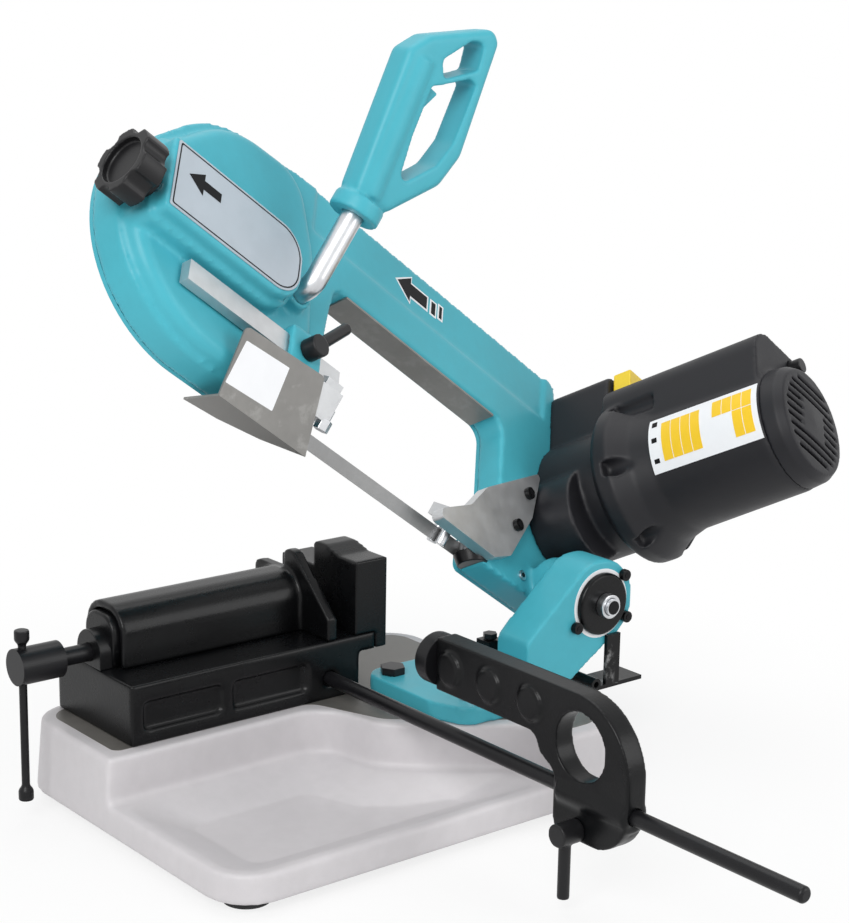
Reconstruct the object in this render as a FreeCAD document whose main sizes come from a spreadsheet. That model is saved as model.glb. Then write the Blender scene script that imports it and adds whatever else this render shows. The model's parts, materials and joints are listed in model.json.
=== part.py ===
import FreeCAD, Part
import math
import os
import Sketcher
from FreeCAD import Placement, Rotation, Vector
from types import SimpleNamespace

# Driving sizes: lengths in millimetres, angles in degrees
SIZES = {
    "base_length": 422, "base_width": 340, "base_corner": 40, "side_draft": 4,
    "foot_height": 9, "foot_radius": 20, "foot_bore": 4.5, "foot_inset": 36, "tap_depth": 9,
    "deck_top": 74, "rim_top": 34, "well_floor": 18, "base_skin": 10,
    "room_left": 100, "room_right": 193, "room_front": -50, "room_back": 150, "room_top": 48,
    "slot_radius": 93, "slot_half_width": 4.6, "slot_depth": 16,
    "vice_left": -177, "vice_right": 62, "vice_front": 34, "vice_back": 160, "bed_top": 128,
    "ledge_right": 80, "ledge_low": 112, "panel_depth": 5, "vice_wall": 12,
    "jaw_face": 57, "jaw_outer": 92, "jaw_back": 150, "jaw_low_top": 180, "jaw_front_top": 197,
    "jaw_step": 100, "jaw_high_top": 203,
    "jaw_slope_start": 60, "jaw_slope_end": 81,
    "jaw_screw_radius": 4, "jaw_screw_head": 6.5, "jaw_screw_length": 20,
    "hood_left": -160, "head_left": 26, "head_right": 36, "hood_front": 75, "hood_back": 138,
    "hood_top": 181, "hood_round": 25, "hood_wall": 7, "slide_gap": 0.2,
    "head_shoulder": 149, "head_bevel_y": 74, "head_bevel_z": 187, "head_top": 200, "head_step": 104,
    "spindle_y": 105, "spindle_z": 140, "spindle_radius": 8, "spindle_tip": 5,
    "spindle_tip_length": 6, "hub_left": -247, "hub_right": -206, "hub_radius": 16,
    "nut_left": -177, "nut_right": -162, "nut_radius": 20,
    "bar_x": -240, "bar_radius": 3.5, "bar_knob": 6.5, "bar_low": 20, "bar_high": 172,
    "bar_knob_length": 9, "bar_flare": 4,
    "rod_x": 29, "rod_z": 93.5, "rod_radius": 6.5, "rod_near": -527, "rod_far": 72,
    "arm_thick": 20, "arm_far": -128, "arm_near": -358, "arm_top": 178, "arm_under": 132,
    "arm_foot": 58, "ring_y": -303, "ring_z": 135.5, "ring_radius": 28, "clamp_radius": 13.5,
    "clamp_length": 56, "boss_radius": 14, "boss_height": 4, "boss_first": -146, "boss_step": 50,
    "pad_z": 155.6, "pad_radius": 22, "pad_thick": 16, "pad_stem": 6, "pad_stem_length": 14,
    "lever_y": -304, "lever_z": 68, "lever_hub": 9.5, "lever_hub_length": 22, "lever_drop": 54,
    "lever_thick": 5, "clamp_screw": 4, "clamp_slit": 2,
    "pivot_x": 90, "pivot_y": 21, "pivot_radius": 8, "pivot_head": 12, "pivot_head_height": 7,
    "plate_top": 90, "plate_span": 100, "bolt_radius": 4, "bolt_head": 8, "bolt_head_height": 7,
    "bolt_angle": -83,
    "scale_inner": 133, "scale_outer": 142, "scale_thick": 1.5,
    "hinge_x": 269, "hinge_z": 145, "lug_near": -62, "lug_far": -20, "lug_radius": 41,
    "lug_left": 180, "lug_shoulder": 122, "lug_right": 232,
    "shaft_radius": 12, "shaft_neck": 8, "shaft_end": 11, "thread_end": -80,
    "cap_radius": 29.5, "cap_thick": 6, "ring_nut_radius": 11.5, "ring_nut_thick": 9,
    "hinge_screw_circle": 36, "hinge_screw_head": 5.5, "hinge_screw_radius": 3,
    "hinge_screw_length": 16, "hinge_screw_head_height": 6,
    "spring_cavity": 22, "spring_cavity_depth": 36, "spring_wire": 2.4, "spring_pitch": 6,
    "spring_side_gap": 0.7,
    "bracket_left": 276, "bracket_right": 293, "bracket_top": 113, "bracket_foot": 61,
    "bracket_thick": 4, "bracket_depth": 32, "bracket_foot_right": 323, "eye_radius": 6,
    "eye_bore": 3, "eye_x": 264,
    "stop_x": 197, "stop_y": 10, "stop_side": 18, "stop_top": 105, "stop_bolt_radius": 4,
    "stop_bolt_head": 7, "stop_bolt_top": 111, "stop_bolt_head_height": 5,
    "bow_angle": 36.2, "wheel_tilt": 33, "cut_plane": 21, "blade_level": -22, "drive_shift": -10,
    "wheel_radius": 81.5, "centre_distance": 464,
    "knuckle_radius": 28, "knuckle_near": -19, "knuckle_far": 10, "bush_radius": 15,
    "bush_length": 12,
    "beam_end": 5, "beam_top": 168.5, "beam_under": 75, "housing_reach": 92, "chin_low": -95,
    "chin_tip": 116, "chin_top": -60, "neck_face": 90, "throat_end": 341, "idler_low": -99,
    "idler_tip": 602, "idler_low_round": 112, "nose_side": 48, "nose_side_round": 85,
    "nose_bend": 512, "nose_top": 152, "nose_round": 118, "brow": 372, "brow_top": 167, "bow_near": 20,
    "bow_far": -9, "bow_web": 6, "bow_wall": 5, "bow_round": 14, "band_drop": 3, "band_low": 116,
    "band_start": 24, "band_end": 377,
    "dome_near": 35, "dome_skin": 7, "dome_round": 11, "dome_side": 44, "dome_side_round": 62,
    "dome_bend": 503, "dome_bend_top": 144, "dome_bend_round": 90, "dome_top": 150, "cover_thick": 4,
    "cover_inset": 2,
    "cover_screw_radius": 2.5, "cover_screw_head": 5, "cover_screw_head_height": 3,
    "cover_screw_length": 14, "cover_boss": 6,
    "strip_thick": 2.5, "strip_start": 105, "strip_end": 325,
    "box_start": 422, "box_end": 592, "box_low": -30, "box_high": 55, "box_near": 64,
    "box_round": 10, "box_end_round": 36, "box_step": 50, "box_draft": 5, "slide_half_length": 24,
    "slide_half_width": 14, "slide_far": 38,
    "slide_near": 60, "slide_travel": 8, "stud_radius": 8, "screw_level": 50,
    "tension_radius": 5, "knob_radius": 30, "knob_thick": 24, "knob_neck": 14,
    "knob_neck_length": 10, "knob_scallop": 9, "knob_dish": 21, "knob_dish_depth": 6,
    "plate_thick": 1.2, "plate_margin": 9,
    "rim_half": 7, "rim_thick": 11, "wheel_gap": 0.8, "flange_rise": 2.5, "flange_thick": 2.5,
    "wheel_hub": 24, "wheel_web_low": -2, "wheel_web_high": 4, "drive_shaft_radius": 10,
    "bearing_radius": 17, "bearing_two_low": 54, "bearing_two_high": 62,
    "idler_bearing_radius": 16, "idler_bearing_half": 6,
    "blade_width": 13, "blade_thick": 0.8, "twist_clear": 14, "fixed_guide_u": 142,
    "arm_guide_u": 345, "guide_half": 15, "twist_end_margin": 34,
    "motor_u": -29, "motor_v": 39, "gear_low": 24, "gear_high": 44, "gear_radius": 36,
    "pinion_radius": 12.2, "gearbox_radius": 62, "gearbox_end": 90, "boss_r_drive": 46,
    "boss_end": 68, "gear_room": 38.5, "pinion_room": 18, "rotor_shaft": 8,
    "cover_root": 72, "cover_flange": 80, "flange_start": 98, "flange_end": 112, "cover_neck": 67,
    "cover_neck_at": 130, "cover_waist": 61.5, "cover_waist_at": 150, "cover_mid": 59.5,
    "cover_mid_at": 263,
    "cover_tail": 58.5, "cover_end": 268,
    "hump_half": 54, "hump_top": 93, "hump_round": 28, "hump_end": 264, "hump_skin": 7, "hump_low": 61,
    "cover_skin": 4, "core_bore": 54.5, "tail_bore": 51, "core_end": 215, "core_start": 130,
    "stator_bore": 34.5, "core_radius": 33.5, "fan_radius": 46, "fan_start": 220, "fan_thick": 14,
    "control_left": 14, "control_right": -62, "control_top": 150, "cap_end": 293, "cap_shoulder": 52,
    "cap_shoulder_at": 290,
    "cap_skirt": 57, "cap_skirt_at": 282, "cap_boss": 15, "cap_boss_start": 258,
    "rotor_end": 272, "louvre_width": 3.4, "louvre_step": 8.5, "louvre_reach": 46,
    "switch_long": 20, "switch_wide": 24, "switch_rise": 20, "switch_depth": 6, "switch_at": 102,
    "switch_side": 24,
    "dial_radius": 7.5, "dial_side": 14, "dial_rise": 80, "dial_seat": 256, "dial_height": 20,
    "dial_gap": 0.3,
    "gland_at": 166, "gland_radius": 9, "gland_stem": 7, "gland_bore": 4, "gland_out": 78,
    "gland_in": 56,
    "tube_radius": 10, "tube_u": 401, "tube_v": 11, "tube_root": 30, "tube_corner": 60,
    "tube_bend": 18, "tube_top": 198,
    "tube_boss": 15, "tube_boss_end": 47,
    "bar_round": 18, "bar_foot_u": 403, "bar_foot_n": 178, "bar_length": 128, "bar_lean": 9.4,
    "ring_u": 401, "grip_ring": 23, "grip_ring_low": 159, "grip_ring_high": 174,
    "grip_thick": 30, "grip_round": 7, "grip_base_n": 170, "grip_span": 200, "grip_datum_u": 336,
    "trigger_low": 263, "trigger_high": 291, "trigger_thick": 15, "trigger_heel": 400, "trigger_face": 391,
    "trigger_back": 409, "trigger_travel": 6, "trigger_gap": 0.5,
    "guide_plate_thick": 12, "guide_span": 100, "guide_block_low": -8, "guide_block_high": 4,
    "guide_block_half": 15, "arm_block_half": 8, "guide_block_depth": 12,
    "roller_radius": 5, "roller_low": -29, "roller_high": -10,
    "roller_gap": 0.5, "roller_pin": 3, "roller_pin_top": -2,
    "guide_screw_radius": 3.5, "guide_screw_head": 6, "guide_screw_head_height": 5,
    "guide_screw_length": 16,
    "slide_bar_start": 353, "slide_bar_end": 537, "slide_bar_low": -58, "slide_bar_high": -38,
    "slide_bar_far": 37, "slide_bar_near": 47, "leg_near": -10, "leg_far": 10, "leg_top": 28,
    "leg_start": 343, "leg_end": 362, "cheek_near": -18, "cheek_far": -8, "cheek_end": 370, "cheek_top": 20,
    "holder_start": 382, "holder_end": 420, "holder_low": -68, "holder_high": -28,
    "holder_near": 53, "guide_lever_u": 401, "guide_lever_hub": 10, "guide_lever_height": 16,
    "guide_lever_reach": 56, "guide_lever_turn": 50, "guide_lever_thick": 5.5, "guide_lever_screw": 4,
    "guard_thick": 2, "guard_flange": 44, "guard_lean": 15.6, "guard_span": 100, "guard_datum_u": 350,
    "fit": 0.05, "loose": 0.15, "gap": 0.3,
}

# Outlines as shares of a named span
DECK_SHARES = [(-1.3, 0.13), (0.05, 0.13), (0.13, -0.24), (0.28, -0.41), (0.64, -0.74), (0.6, -1.3),
               (-1.3, -1.3)]
WELL_SHARES = [(-0.943, 0.094, 0.65), (0.019, 0.094, 0.3), (0.095, -0.27, 0.5), (0.246, -0.453, 0.5),
               (0.531, -0.718, 0.35), (0.531, -0.924, 0.35), (-0.943, -0.924, 0.75)]
FLOOR_SHARES = [(-0.749, -0.141, 0.35), (-0.171, -0.141, 0.2), (-0.095, -0.424, 0.3), (0.038, -0.541, 0.3),
                (0.275, -0.624, 0.12), (0.275, -0.706, 0.12), (-0.749, -0.706, 0.4)]
PLATE_SHARES = [(-0.2, 0.2, 0.19), (-0.2, -0.8, 0.2), (-0.06, -1.16, 0.2), (0.5, -1.18, 0.25),
                (0.95, -0.83, 0.08), (1.42, -0.83, 0.06), (1.42, -0.3, 0.06), (1.24, -0.12, 0.1),
                (1.24, 0.2, 0.08), (0.9, 0.2, 0.1), (0.2, 0.2, 0.19)]
LUG_LEFT_SHARES = (-0.62, 0.78)
LUG_RIGHT_SHARES = (0.7, -0.7)
GRIP_SHARES = [(0.415, 0.0, 0.06), (0.54, 0.66, 0.05), (0.48, 0.77, 0.06), (0.2, 1.0, 0.05),
               (0.14, 0.965, 0.04), (0.02, 0.45, 0.08), (0.045, 0.285, 0.08), (0.22, 0.03, 0.06)]
GRIP_HOLE_SHARES = [(0.245, 0.155, 0.03), (0.305, 0.37, 0.08), (0.345, 0.6, 0.01), (0.305, 0.632, 0.01),
                    (0.19, 0.745, 0.02), (0.145, 0.745, 0.02), (0.1, 0.48, 0.09), (0.12, 0.345, 0.09)]
GRIP_WINDOW_SHARES = [(0.31, 0.66, 0.02), (0.365, 0.72, 0.03), (0.28, 0.88, 0.04), (0.215, 0.915, 0.03),
                      (0.175, 0.8, 0.02)]
GUARD_FLANGE_SHARES = [(0.0, 0.0), (1.06, 0.0), (1.06, 1.0), (0.72, 0.86), (0.34, 0.52)]
GUIDE_PLATE_SHARES = [(0.43, 0.3, 0.03), (0.46, 0.34, 0.03), (1.24, -0.24, 0.08), (1.46, -0.55, 0.1),
                      (1.86, -0.8, 0.04), (1.88, -0.9, 0.04), (1.08, -0.92, 0.05), (0.84, -0.78, 0.06),
                      (0.53, -0.2, 0.1)]
GUIDE_SCREW_SHARES = [(0.62, 0.02), (0.78, -0.42)]
GUARD_SHARES = [(1.16, 0.6, 0.05), (0.23, 0.65, 0.05), (0.0, 0.0), (1.06, 0.0)]
GUARD_LOW_SHARE = -0.42
COVER_SCREW_SHARES = [(0.13, 0.95), (0.7, 0.95), (1.268, 0.18), (-0.172, 0.32)]
PANEL_SHARE = 0.45
RING_WALL_SHARE = 0.6
ARM_CORNER_SHARES = (2.15, 1.4)
ARM_WEB_SHARES = (1.5, 1.8, 2)
CLAMP_SHARE = 1.4
BACK_SHARES = (3.4, 1.5)
HOUSING_SHARES = (3.5, 6)
CHIN_SHARE = 0.6
THROAT_SHARES = (1.3, 4, 1.6)
BROW_SHARE = 6
DOME_SHARES = (2.2, 1.4, 4.6, 1.6, 5, 3)
DOME_HOLLOW_SHARE = 1.5
BLADE_WAY_SHARES = (5, 0.65)
PINION_ROOM_SHARE = 5
KNOB_GROOVE_SHARE = 0.45

# How near two levels count as one
TOUCH = 0.0001

# Angles and counts
SCREW_ANGLES = (210, 40, -30)
SLOT_ANGLES = (-92, -30)
SCALE_ANGLES = (-72, -50)
ARM_BOSSES = 3
KNOB_LOBES = 6
LOUVRES = 10
ARC_STEPS = 36
TWIST_STEPS = 8
SPRING_TURNS = 5

doc = FreeCAD.newDocument("BandSaw")
sheet = doc.addObject("Spreadsheet::Sheet", "Sizes")
for row, (alias, value) in enumerate(SIZES.items(), start=1):
    sheet.set(f"A{row}", str(value))
    sheet.setAlias(f"A{row}", alias)
doc.recompute()


class Size:
    """A value from the sheet, together with the expression that gives it."""

    def __init__(self, value, text):
        self.value = value
        self.text = text

    def __float__(self):
        return self.value

    def __add__(self, other):
        return Size(self.value + float(other), f"({self.text} + {text_of(other)})")

    def __sub__(self, other):
        return Size(self.value - float(other), f"({self.text} - {text_of(other)})")

    def __mul__(self, share):
        return Size(self.value * share, f"({self.text} * {text_of(share)})")

    def __truediv__(self, share):
        return Size(self.value / share, f"({self.text} / {text_of(share)})")

    def __neg__(self):
        return Size(-self.value, f"(0 - {self.text})")


def text_of(number):
    return number.text if isinstance(number, Size) else repr(float(number))


s = SimpleNamespace(**{name: Size(float(sheet.get(name)), f"Sizes.{name}") for name in SIZES})
zero = Size(0.0, "0")
pieces = {}


def round_hole(x, y, radius):
    return ("round", x, y, radius)


def rectangle(x_low, x_high, y_low, y_high, radius=0):
    corners = [(x_low, y_low), (x_high, y_low), (x_high, y_high), (x_low, y_high)]
    return [(x, y, radius) for x, y in corners]


def corners_of(points):
    """The corner radii, and each corner's two tangent points."""
    spots = [Vector(float(p[0]), float(p[1]), 0) for p in points]
    radii = [float(p[2]) if len(p) > 2 else 0.0 for p in points]
    out = []
    for i, spot in enumerate(spots):
        back = (spots[i - 1] - spot).normalize()
        ahead = (spots[(i + 1) % len(spots)] - spot).normalize()
        half = back.getAngle(ahead) / 2
        if radii[i] > 0 and half < math.pi / 2 - 1e-6:
            reach = radii[i] / math.tan(half)
            centre = spot + (back + ahead).normalize() * (radii[i] / math.sin(half))
            middle = centre + (spot - centre).normalize() * radii[i]
            out.append((spot + back * reach, middle, spot + ahead * reach))
        else:
            out.append((spot, None, spot))
    return out


def curves_of(points):
    """Lines and corner arcs of a closed outline."""
    corners = corners_of(points)
    curves = []
    for i, (start, middle, end) in enumerate(corners):
        if middle is not None:
            curves.append(Part.Arc(start, middle, end))
        following = corners[(i + 1) % len(corners)][0]
        if end.distanceToPoint(following) > 1e-6:
            curves.append(Part.LineSegment(end, following))
    return curves


def inset(points, wall):
    """The same outline moved inwards by a wall; corner radii follow."""
    spots = [Vector(float(p[0]), float(p[1]), 0) for p in points]
    area = sum(a.x * b.y - b.x * a.y for a, b in zip(spots, spots[1:] + spots[:1]))
    side = math.copysign(1, area)
    wall = float(wall)
    moved = []
    for i, spot in enumerate(spots):
        ahead = (spots[(i + 1) % len(spots)] - spot).normalize()
        behind = (spot - spots[i - 1]).normalize()
        turn = side * (behind.x * ahead.y - behind.y * ahead.x)
        normal_a = Vector(-behind.y, behind.x, 0) * side
        normal_b = Vector(-ahead.y, ahead.x, 0) * side
        mean = normal_a + normal_b
        spot = spot + mean * (2 * wall / mean.dot(mean))
        radius = float(points[i][2]) - math.copysign(wall, turn)
        moved.append((spot.x, spot.y, max(radius, wall / 4)))
    return moved


def arc_band(x, y, inner, outer, start, end):
    """A curved slot between two radii, with square ends."""
    def at(radius, angle):
        turn = math.radians(float(angle))
        return Vector(float(x) + float(radius) * math.cos(turn), float(y) + float(radius) * math.sin(turn),
            0)
    middle = (start + end) / 2
    return ("curves", [
        Part.Arc(at(inner, start), at(inner, middle), at(inner, end)),
        Part.LineSegment(at(inner, end), at(outer, end)),
        Part.Arc(at(outer, end), at(outer, middle), at(outer, start)),
        Part.LineSegment(at(outer, start), at(inner, start)),
    ])


def new_body(label, place=Placement()):
    body = doc.addObject("PartDesign::Body", label)
    body.Label = label
    body.Placement = place
    return body


def sketch(body, shapes, role="XY_Plane", lift=zero):
    """A sketch on one of the body's own planes, lifted along its normal."""
    sk = body.newObject("Sketcher::SketchObject", "Outline")
    plane = [f for f in body.Origin.OriginFeatures if f.Role == role][0]
    sk.AttachmentSupport = (plane, [""])
    sk.MapMode = "FlatFace"
    sk.setExpression("AttachmentOffset.Base.z", lift.text)
    for shape in shapes:
        if shape[0] == "round":
            x, y, radius = shape[1:]
            circle = sk.addGeometry(Part.Circle(Vector(float(x), float(y), 0), Vector(0, 0, 1),
                float(radius)))
            sk.addConstraint(Sketcher.Constraint("Radius", circle, float(radius)))
            sk.setExpression(f"Constraints[{sk.ConstraintCount - 1}]", radius.text)
        elif shape[0] == "curves":
            sk.addGeometry(shape[1])
        else:
            sk.addGeometry(curves_of(shape))
    return sk


ROLES = {"x": "YZ_Plane", "y": "XZ_Plane", "z": "XY_Plane"}


def add(body, axis, shapes, low, high):
    """Material between two levels along an axis of the body."""
    lift = -high if axis == "y" else low
    sk = sketch(body, shapes, ROLES[axis], lift)
    pad = body.newObject("PartDesign::Pad", "Pad")
    pad.Profile = sk
    pad.setExpression("Length", (high - low).text)
    return pad


def cut(body, axis, shapes, low, high):
    """A recess between two levels along an axis of the body."""
    lift = -low if axis == "y" else high
    sk = sketch(body, shapes, ROLES[axis], lift)
    pocket = body.newObject("PartDesign::Pocket", "Pocket")
    pocket.Profile = sk
    pocket.setExpression("Length", (high - low).text)
    return pocket


def turned(label, points, place=Placement()):
    """A piece of revolution about its own Z axis, from radius and height pairs."""
    body = new_body(label, place)
    sk = sketch(body, [points], "XZ_Plane")
    turn = body.newObject("PartDesign::Revolution", "Turned")
    turn.Profile = sk
    turn.ReferenceAxis = (sk, ["V_Axis"])
    turn.Angle = 360
    return body


def soften(body, radius, pick):
    """Round the edges of the last feature that the test picks."""
    doc.recompute()
    base = body.Tip
    names = [f"Edge{i}" for i, edge in enumerate(base.Shape.Edges, start=1) if pick(edge)]
    fillet = body.newObject("PartDesign::Fillet", "Round")
    fillet.Base = (base, names)
    fillet.setExpression("Radius", radius.text)
    return fillet


def joined(label, adds, cuts=()):
    """Several bodies made into one solid, less some others."""
    whole = adds[0]
    if len(adds) > 1:
        whole = doc.addObject("Part::MultiFuse", f"{label}_whole")
        whole.Shapes = list(adds)
    if cuts:
        tool = cuts[0]
        if len(cuts) > 1:
            tool = doc.addObject("Part::MultiFuse", f"{label}_tools")
            tool.Shapes = list(cuts)
        less = doc.addObject("Part::Cut", f"{label}_less")
        less.Base = whole
        less.Tool = tool
        whole = less
    return keep(whole, label)


def keep(piece, label=None):
    """Count a finished piece as one node."""
    if label is not None:
        piece.Label = label
    pieces[piece.Label] = piece
    return piece


def at(x, y, z, rotation=Rotation()):
    return Placement(Vector(float(x), float(y), float(z)), rotation)


def polar(radius, angle):
    turn = math.radians(float(angle))
    return radius * math.cos(turn), radius * math.sin(turn)


def group(label, bodies):
    """Like pieces kept as separate solids of one node."""
    whole = doc.addObject("Part::Compound", label)
    whole.Links = bodies
    return keep(whole, label)


to_x = Rotation(Vector(0, 1, 0), 90)
to_minus_x = Rotation(Vector(0, 1, 0), -90)
to_y = Rotation(Vector(1, 0, 0), -90)

# Frames of the bow: X runs back along the bow, Z away from the blade; the wheels lie in a tilted plane
tilt = math.radians(float(s.wheel_tilt))
drive_y = s.cut_plane + s.wheel_radius * math.sin(tilt)
drive_n = s.blade_level + s.wheel_radius * math.cos(tilt)
bow = at(s.hinge_x, zero, s.hinge_z, Rotation(Vector(0, 1, 0), float(s.bow_angle)))
wheels = bow * at(-s.drive_shift, drive_y, drive_n, Rotation(Vector(1, 0, 0), 90 - float(s.wheel_tilt)))

# Base and feet
half_length = s.base_length / 2
half_width = s.base_width / 2
base = new_body("base_casting")
foot_line = sketch(base, [rectangle(-half_length, half_length, -half_width, half_width, s.base_corner)],
                   "XY_Plane", s.foot_height)
top_length = half_length - s.side_draft
top_width = half_width - s.side_draft
top_line = sketch(base, [rectangle(-top_length, top_length, -top_width, top_width, s.base_corner)],
                  "XY_Plane", s.deck_top)
loft = base.newObject("PartDesign::AdditiveLoft", "Sides")
loft.Profile = foot_line
loft.Sections = [top_line]
loft.Ruled = True
deck = [(half_length * x, half_width * y, s.foot_inset) for x, y in DECK_SHARES]
cut(base, "z", [deck], s.rim_top, s.deck_top)
well = [(half_length * x, half_width * y, s.base_corner * r) for x, y, r in WELL_SHARES]
well_floor = [(half_length * x, half_width * y, s.base_corner * r) for x, y, r in FLOOR_SHARES]
rim_line = sketch(base, [well], "XY_Plane", s.rim_top)
floor_line = sketch(base, [well_floor], "XY_Plane", s.well_floor)
dish = base.newObject("PartDesign::SubtractiveLoft", "Dish")
dish.Profile = rim_line
dish.Sections = [floor_line]
dish.Ruled = True
hollow = rectangle(s.vice_left + s.foot_inset, s.ledge_right, s.vice_front + s.base_skin,
                   s.vice_back - s.base_skin, s.base_skin)
cut(base, "z", [hollow], s.foot_height, s.deck_top - s.base_skin)
room = rectangle(s.room_left, s.room_right, s.room_front, s.room_back, s.base_skin)
cut(base, "z", [room], s.foot_height, s.room_top)
foot_spots = [(sx * (float(half_length) - float(s.foot_inset)),
    sy * (float(half_width) - float(s.foot_inset)))
              for sx in (-1, 1) for sy in (-1, 1)]
cut(base, "z", [round_hole(x, y, s.foot_bore) for x, y in foot_spots], s.foot_height,
    s.foot_height + s.tap_depth)
cut(base, "z", [arc_band(s.pivot_x, s.pivot_y, s.slot_radius - s.slot_half_width,
                         s.slot_radius + s.slot_half_width, *SLOT_ANGLES)],
    s.deck_top - s.slot_depth, s.deck_top)
cut(base, "z", [round_hole(s.pivot_x, s.pivot_y, s.pivot_radius + s.fit)], s.deck_top - s.slot_depth,
    s.deck_top)
keep(base)

feet = []
for number, (x, y) in enumerate(foot_spots, start=1):
    foot = new_body(f"foot_{number}", at(x, y, zero))
    add(foot, "z", [round_hole(zero, zero, s.foot_radius), round_hole(zero, zero, s.foot_bore)], zero,
        s.foot_height)
    feet.append(foot)
group("rubber_feet", feet)

# Vice
vice = new_body("vice_base")
add(vice, "z", [rectangle(s.vice_left, s.vice_right, s.vice_front, s.vice_back)], s.deck_top, s.bed_top)
add(vice, "z", [rectangle(s.vice_left, s.ledge_right, s.vice_front, s.vice_back)], s.ledge_low, s.bed_top)
middle = s.vice_left * PANEL_SHARE
panel_low = s.deck_top + s.vice_wall
panel_high = s.ledge_low
for left, right in ((s.vice_left + s.vice_wall, middle - s.panel_depth),
    (middle + s.panel_depth, s.panel_depth)):
    cut(vice, "y", [rectangle(left, right, panel_low, panel_high, s.panel_depth)], s.vice_front,
        s.vice_front + s.panel_depth)
cut(vice, "z", [rectangle(s.vice_left + s.vice_wall, s.vice_wall, s.vice_front + s.vice_wall,
                          s.vice_back - s.vice_wall, s.vice_wall)], s.deck_top, s.ledge_low)
cut(vice, "y", [round_hole(s.rod_x, s.rod_z, s.rod_radius + s.fit)], s.vice_front, s.rod_far + s.gap)
screw_spots = [(s.jaw_slope_start, (s.ledge_low + s.bed_top) / 2),
    (s.jaw_back - s.hood_round, (s.ledge_low + s.bed_top) / 2)]
jaw_holes = [round_hole(y, z, s.jaw_screw_radius + s.loose) for y, z in screw_spots]
cut(vice, "x", jaw_holes, s.jaw_outer - s.jaw_screw_length - s.gap, s.ledge_right)
keep(vice)

fixed_jaw = new_body("fixed_jaw")
add(fixed_jaw, "y", [[(s.jaw_face, s.bed_top), (s.ledge_right, s.bed_top), (s.ledge_right, s.ledge_low),
                      (s.jaw_outer, s.ledge_low), (s.jaw_outer, s.jaw_low_top), (s.jaw_face,
                          s.jaw_low_top)]],
    s.vice_front, s.jaw_back)
add(fixed_jaw, "x", [[(s.vice_front, s.bed_top), (s.vice_front, s.jaw_front_top),
                      (s.jaw_slope_start, s.jaw_front_top), (s.jaw_slope_end, s.jaw_high_top,
                          s.panel_depth),
                      (s.jaw_step, s.jaw_high_top, s.panel_depth), (s.jaw_step, s.bed_top)]],
    s.jaw_face, s.jaw_outer)
cut(fixed_jaw, "x", jaw_holes, s.ledge_right, s.jaw_outer)
keep(fixed_jaw)

jaw_screws = []
for number, (y, z) in enumerate(screw_spots, start=1):
    screw = new_body(f"jaw_screw_{number}")
    add(screw, "x", [round_hole(y, z, s.jaw_screw_radius)], s.jaw_outer - s.jaw_screw_length, s.jaw_outer)
    add(screw, "x", [round_hole(y, z, s.jaw_screw_head)], s.jaw_outer, s.jaw_outer + s.jaw_screw_head)
    jaw_screws.append(screw)
group("jaw_screws", jaw_screws)

moving_jaw = new_body("moving_jaw")
sole = s.bed_top + s.slide_gap
hood = [(s.hood_front, sole), (s.hood_front, s.hood_top, s.hood_round),
    (s.hood_back, s.hood_top, s.hood_round),
        (s.hood_back, sole), (s.hood_back - s.hood_wall, sole),
        (s.hood_back - s.hood_wall, s.hood_top - s.hood_wall, s.hood_round - s.hood_wall),
        (s.hood_front + s.hood_wall, s.hood_top - s.hood_wall, s.hood_round - s.hood_wall),
        (s.hood_front + s.hood_wall, sole)]
add(moving_jaw, "x", [hood], s.hood_left, s.head_left)
head = [(s.vice_front, sole), (s.vice_front, s.head_shoulder),
    (s.head_bevel_y, s.head_bevel_z, s.hood_wall),
        (s.head_bevel_y + s.hood_wall * 2, s.head_top, s.hood_wall), (s.head_step, s.head_top, s.hood_wall),
        (s.head_step, s.jaw_low_top), (s.jaw_back, s.jaw_low_top, s.hood_wall), (s.jaw_back, sole)]
add(moving_jaw, "x", [head], s.head_left, s.head_right)
cut(moving_jaw, "x", [round_hole(s.spindle_y, s.spindle_z, s.spindle_tip + s.fit)], s.head_left,
    s.head_left + s.spindle_tip_length + s.gap)
keep(moving_jaw)

nut = new_body("spindle_nut")
add(nut, "x", [round_hole(s.spindle_y, s.spindle_z, s.nut_radius)], s.nut_left, s.nut_right)
add(nut, "x", [rectangle(s.spindle_y - s.nut_radius, s.spindle_y + s.nut_radius, s.bed_top, s.spindle_z)],
    s.nut_left, s.nut_right)
keel = rectangle(s.spindle_y - s.nut_radius * 2, s.spindle_y + s.nut_radius * 2, s.deck_top, s.bed_top)
cut(nut, "x", [keel], s.nut_left, s.nut_right)
cut(nut, "x", [round_hole(s.spindle_y, s.spindle_z, s.spindle_radius + s.fit)], s.nut_left, s.nut_right)
keep(nut)

spindle_place = at(zero, s.spindle_y, s.spindle_z, to_x)
shoulder = s.head_left - s.gap
spindle = turned("vice_spindle", [
    (zero, s.hub_left), (s.hub_radius, s.hub_left), (s.hub_radius, s.hub_right), (s.spindle_radius,
        s.hub_right),
    (s.spindle_radius, shoulder), (s.spindle_tip, shoulder), (s.spindle_tip,
        s.head_left + s.spindle_tip_length),
    (zero, s.head_left + s.spindle_tip_length)], spindle_place)
cut(spindle, "x", [round_hole(zero, s.bar_x, s.bar_radius + s.fit)], -s.hub_radius, s.hub_radius)
keep(spindle)

low_neck = s.bar_low + s.bar_knob_length
high_neck = s.bar_high - s.bar_knob_length
keep(turned("tommy_bar", [
    (zero, s.bar_low), (s.bar_knob, s.bar_low), (s.bar_knob, low_neck), (s.bar_radius,
        low_neck + s.bar_flare),
    (s.bar_radius, high_neck - s.bar_flare + s.slide_gap), (s.bar_knob, high_neck), (s.bar_knob,
        s.bar_high),
    (zero, s.bar_high)],
    at(s.bar_x, s.spindle_y, zero)))

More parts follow.
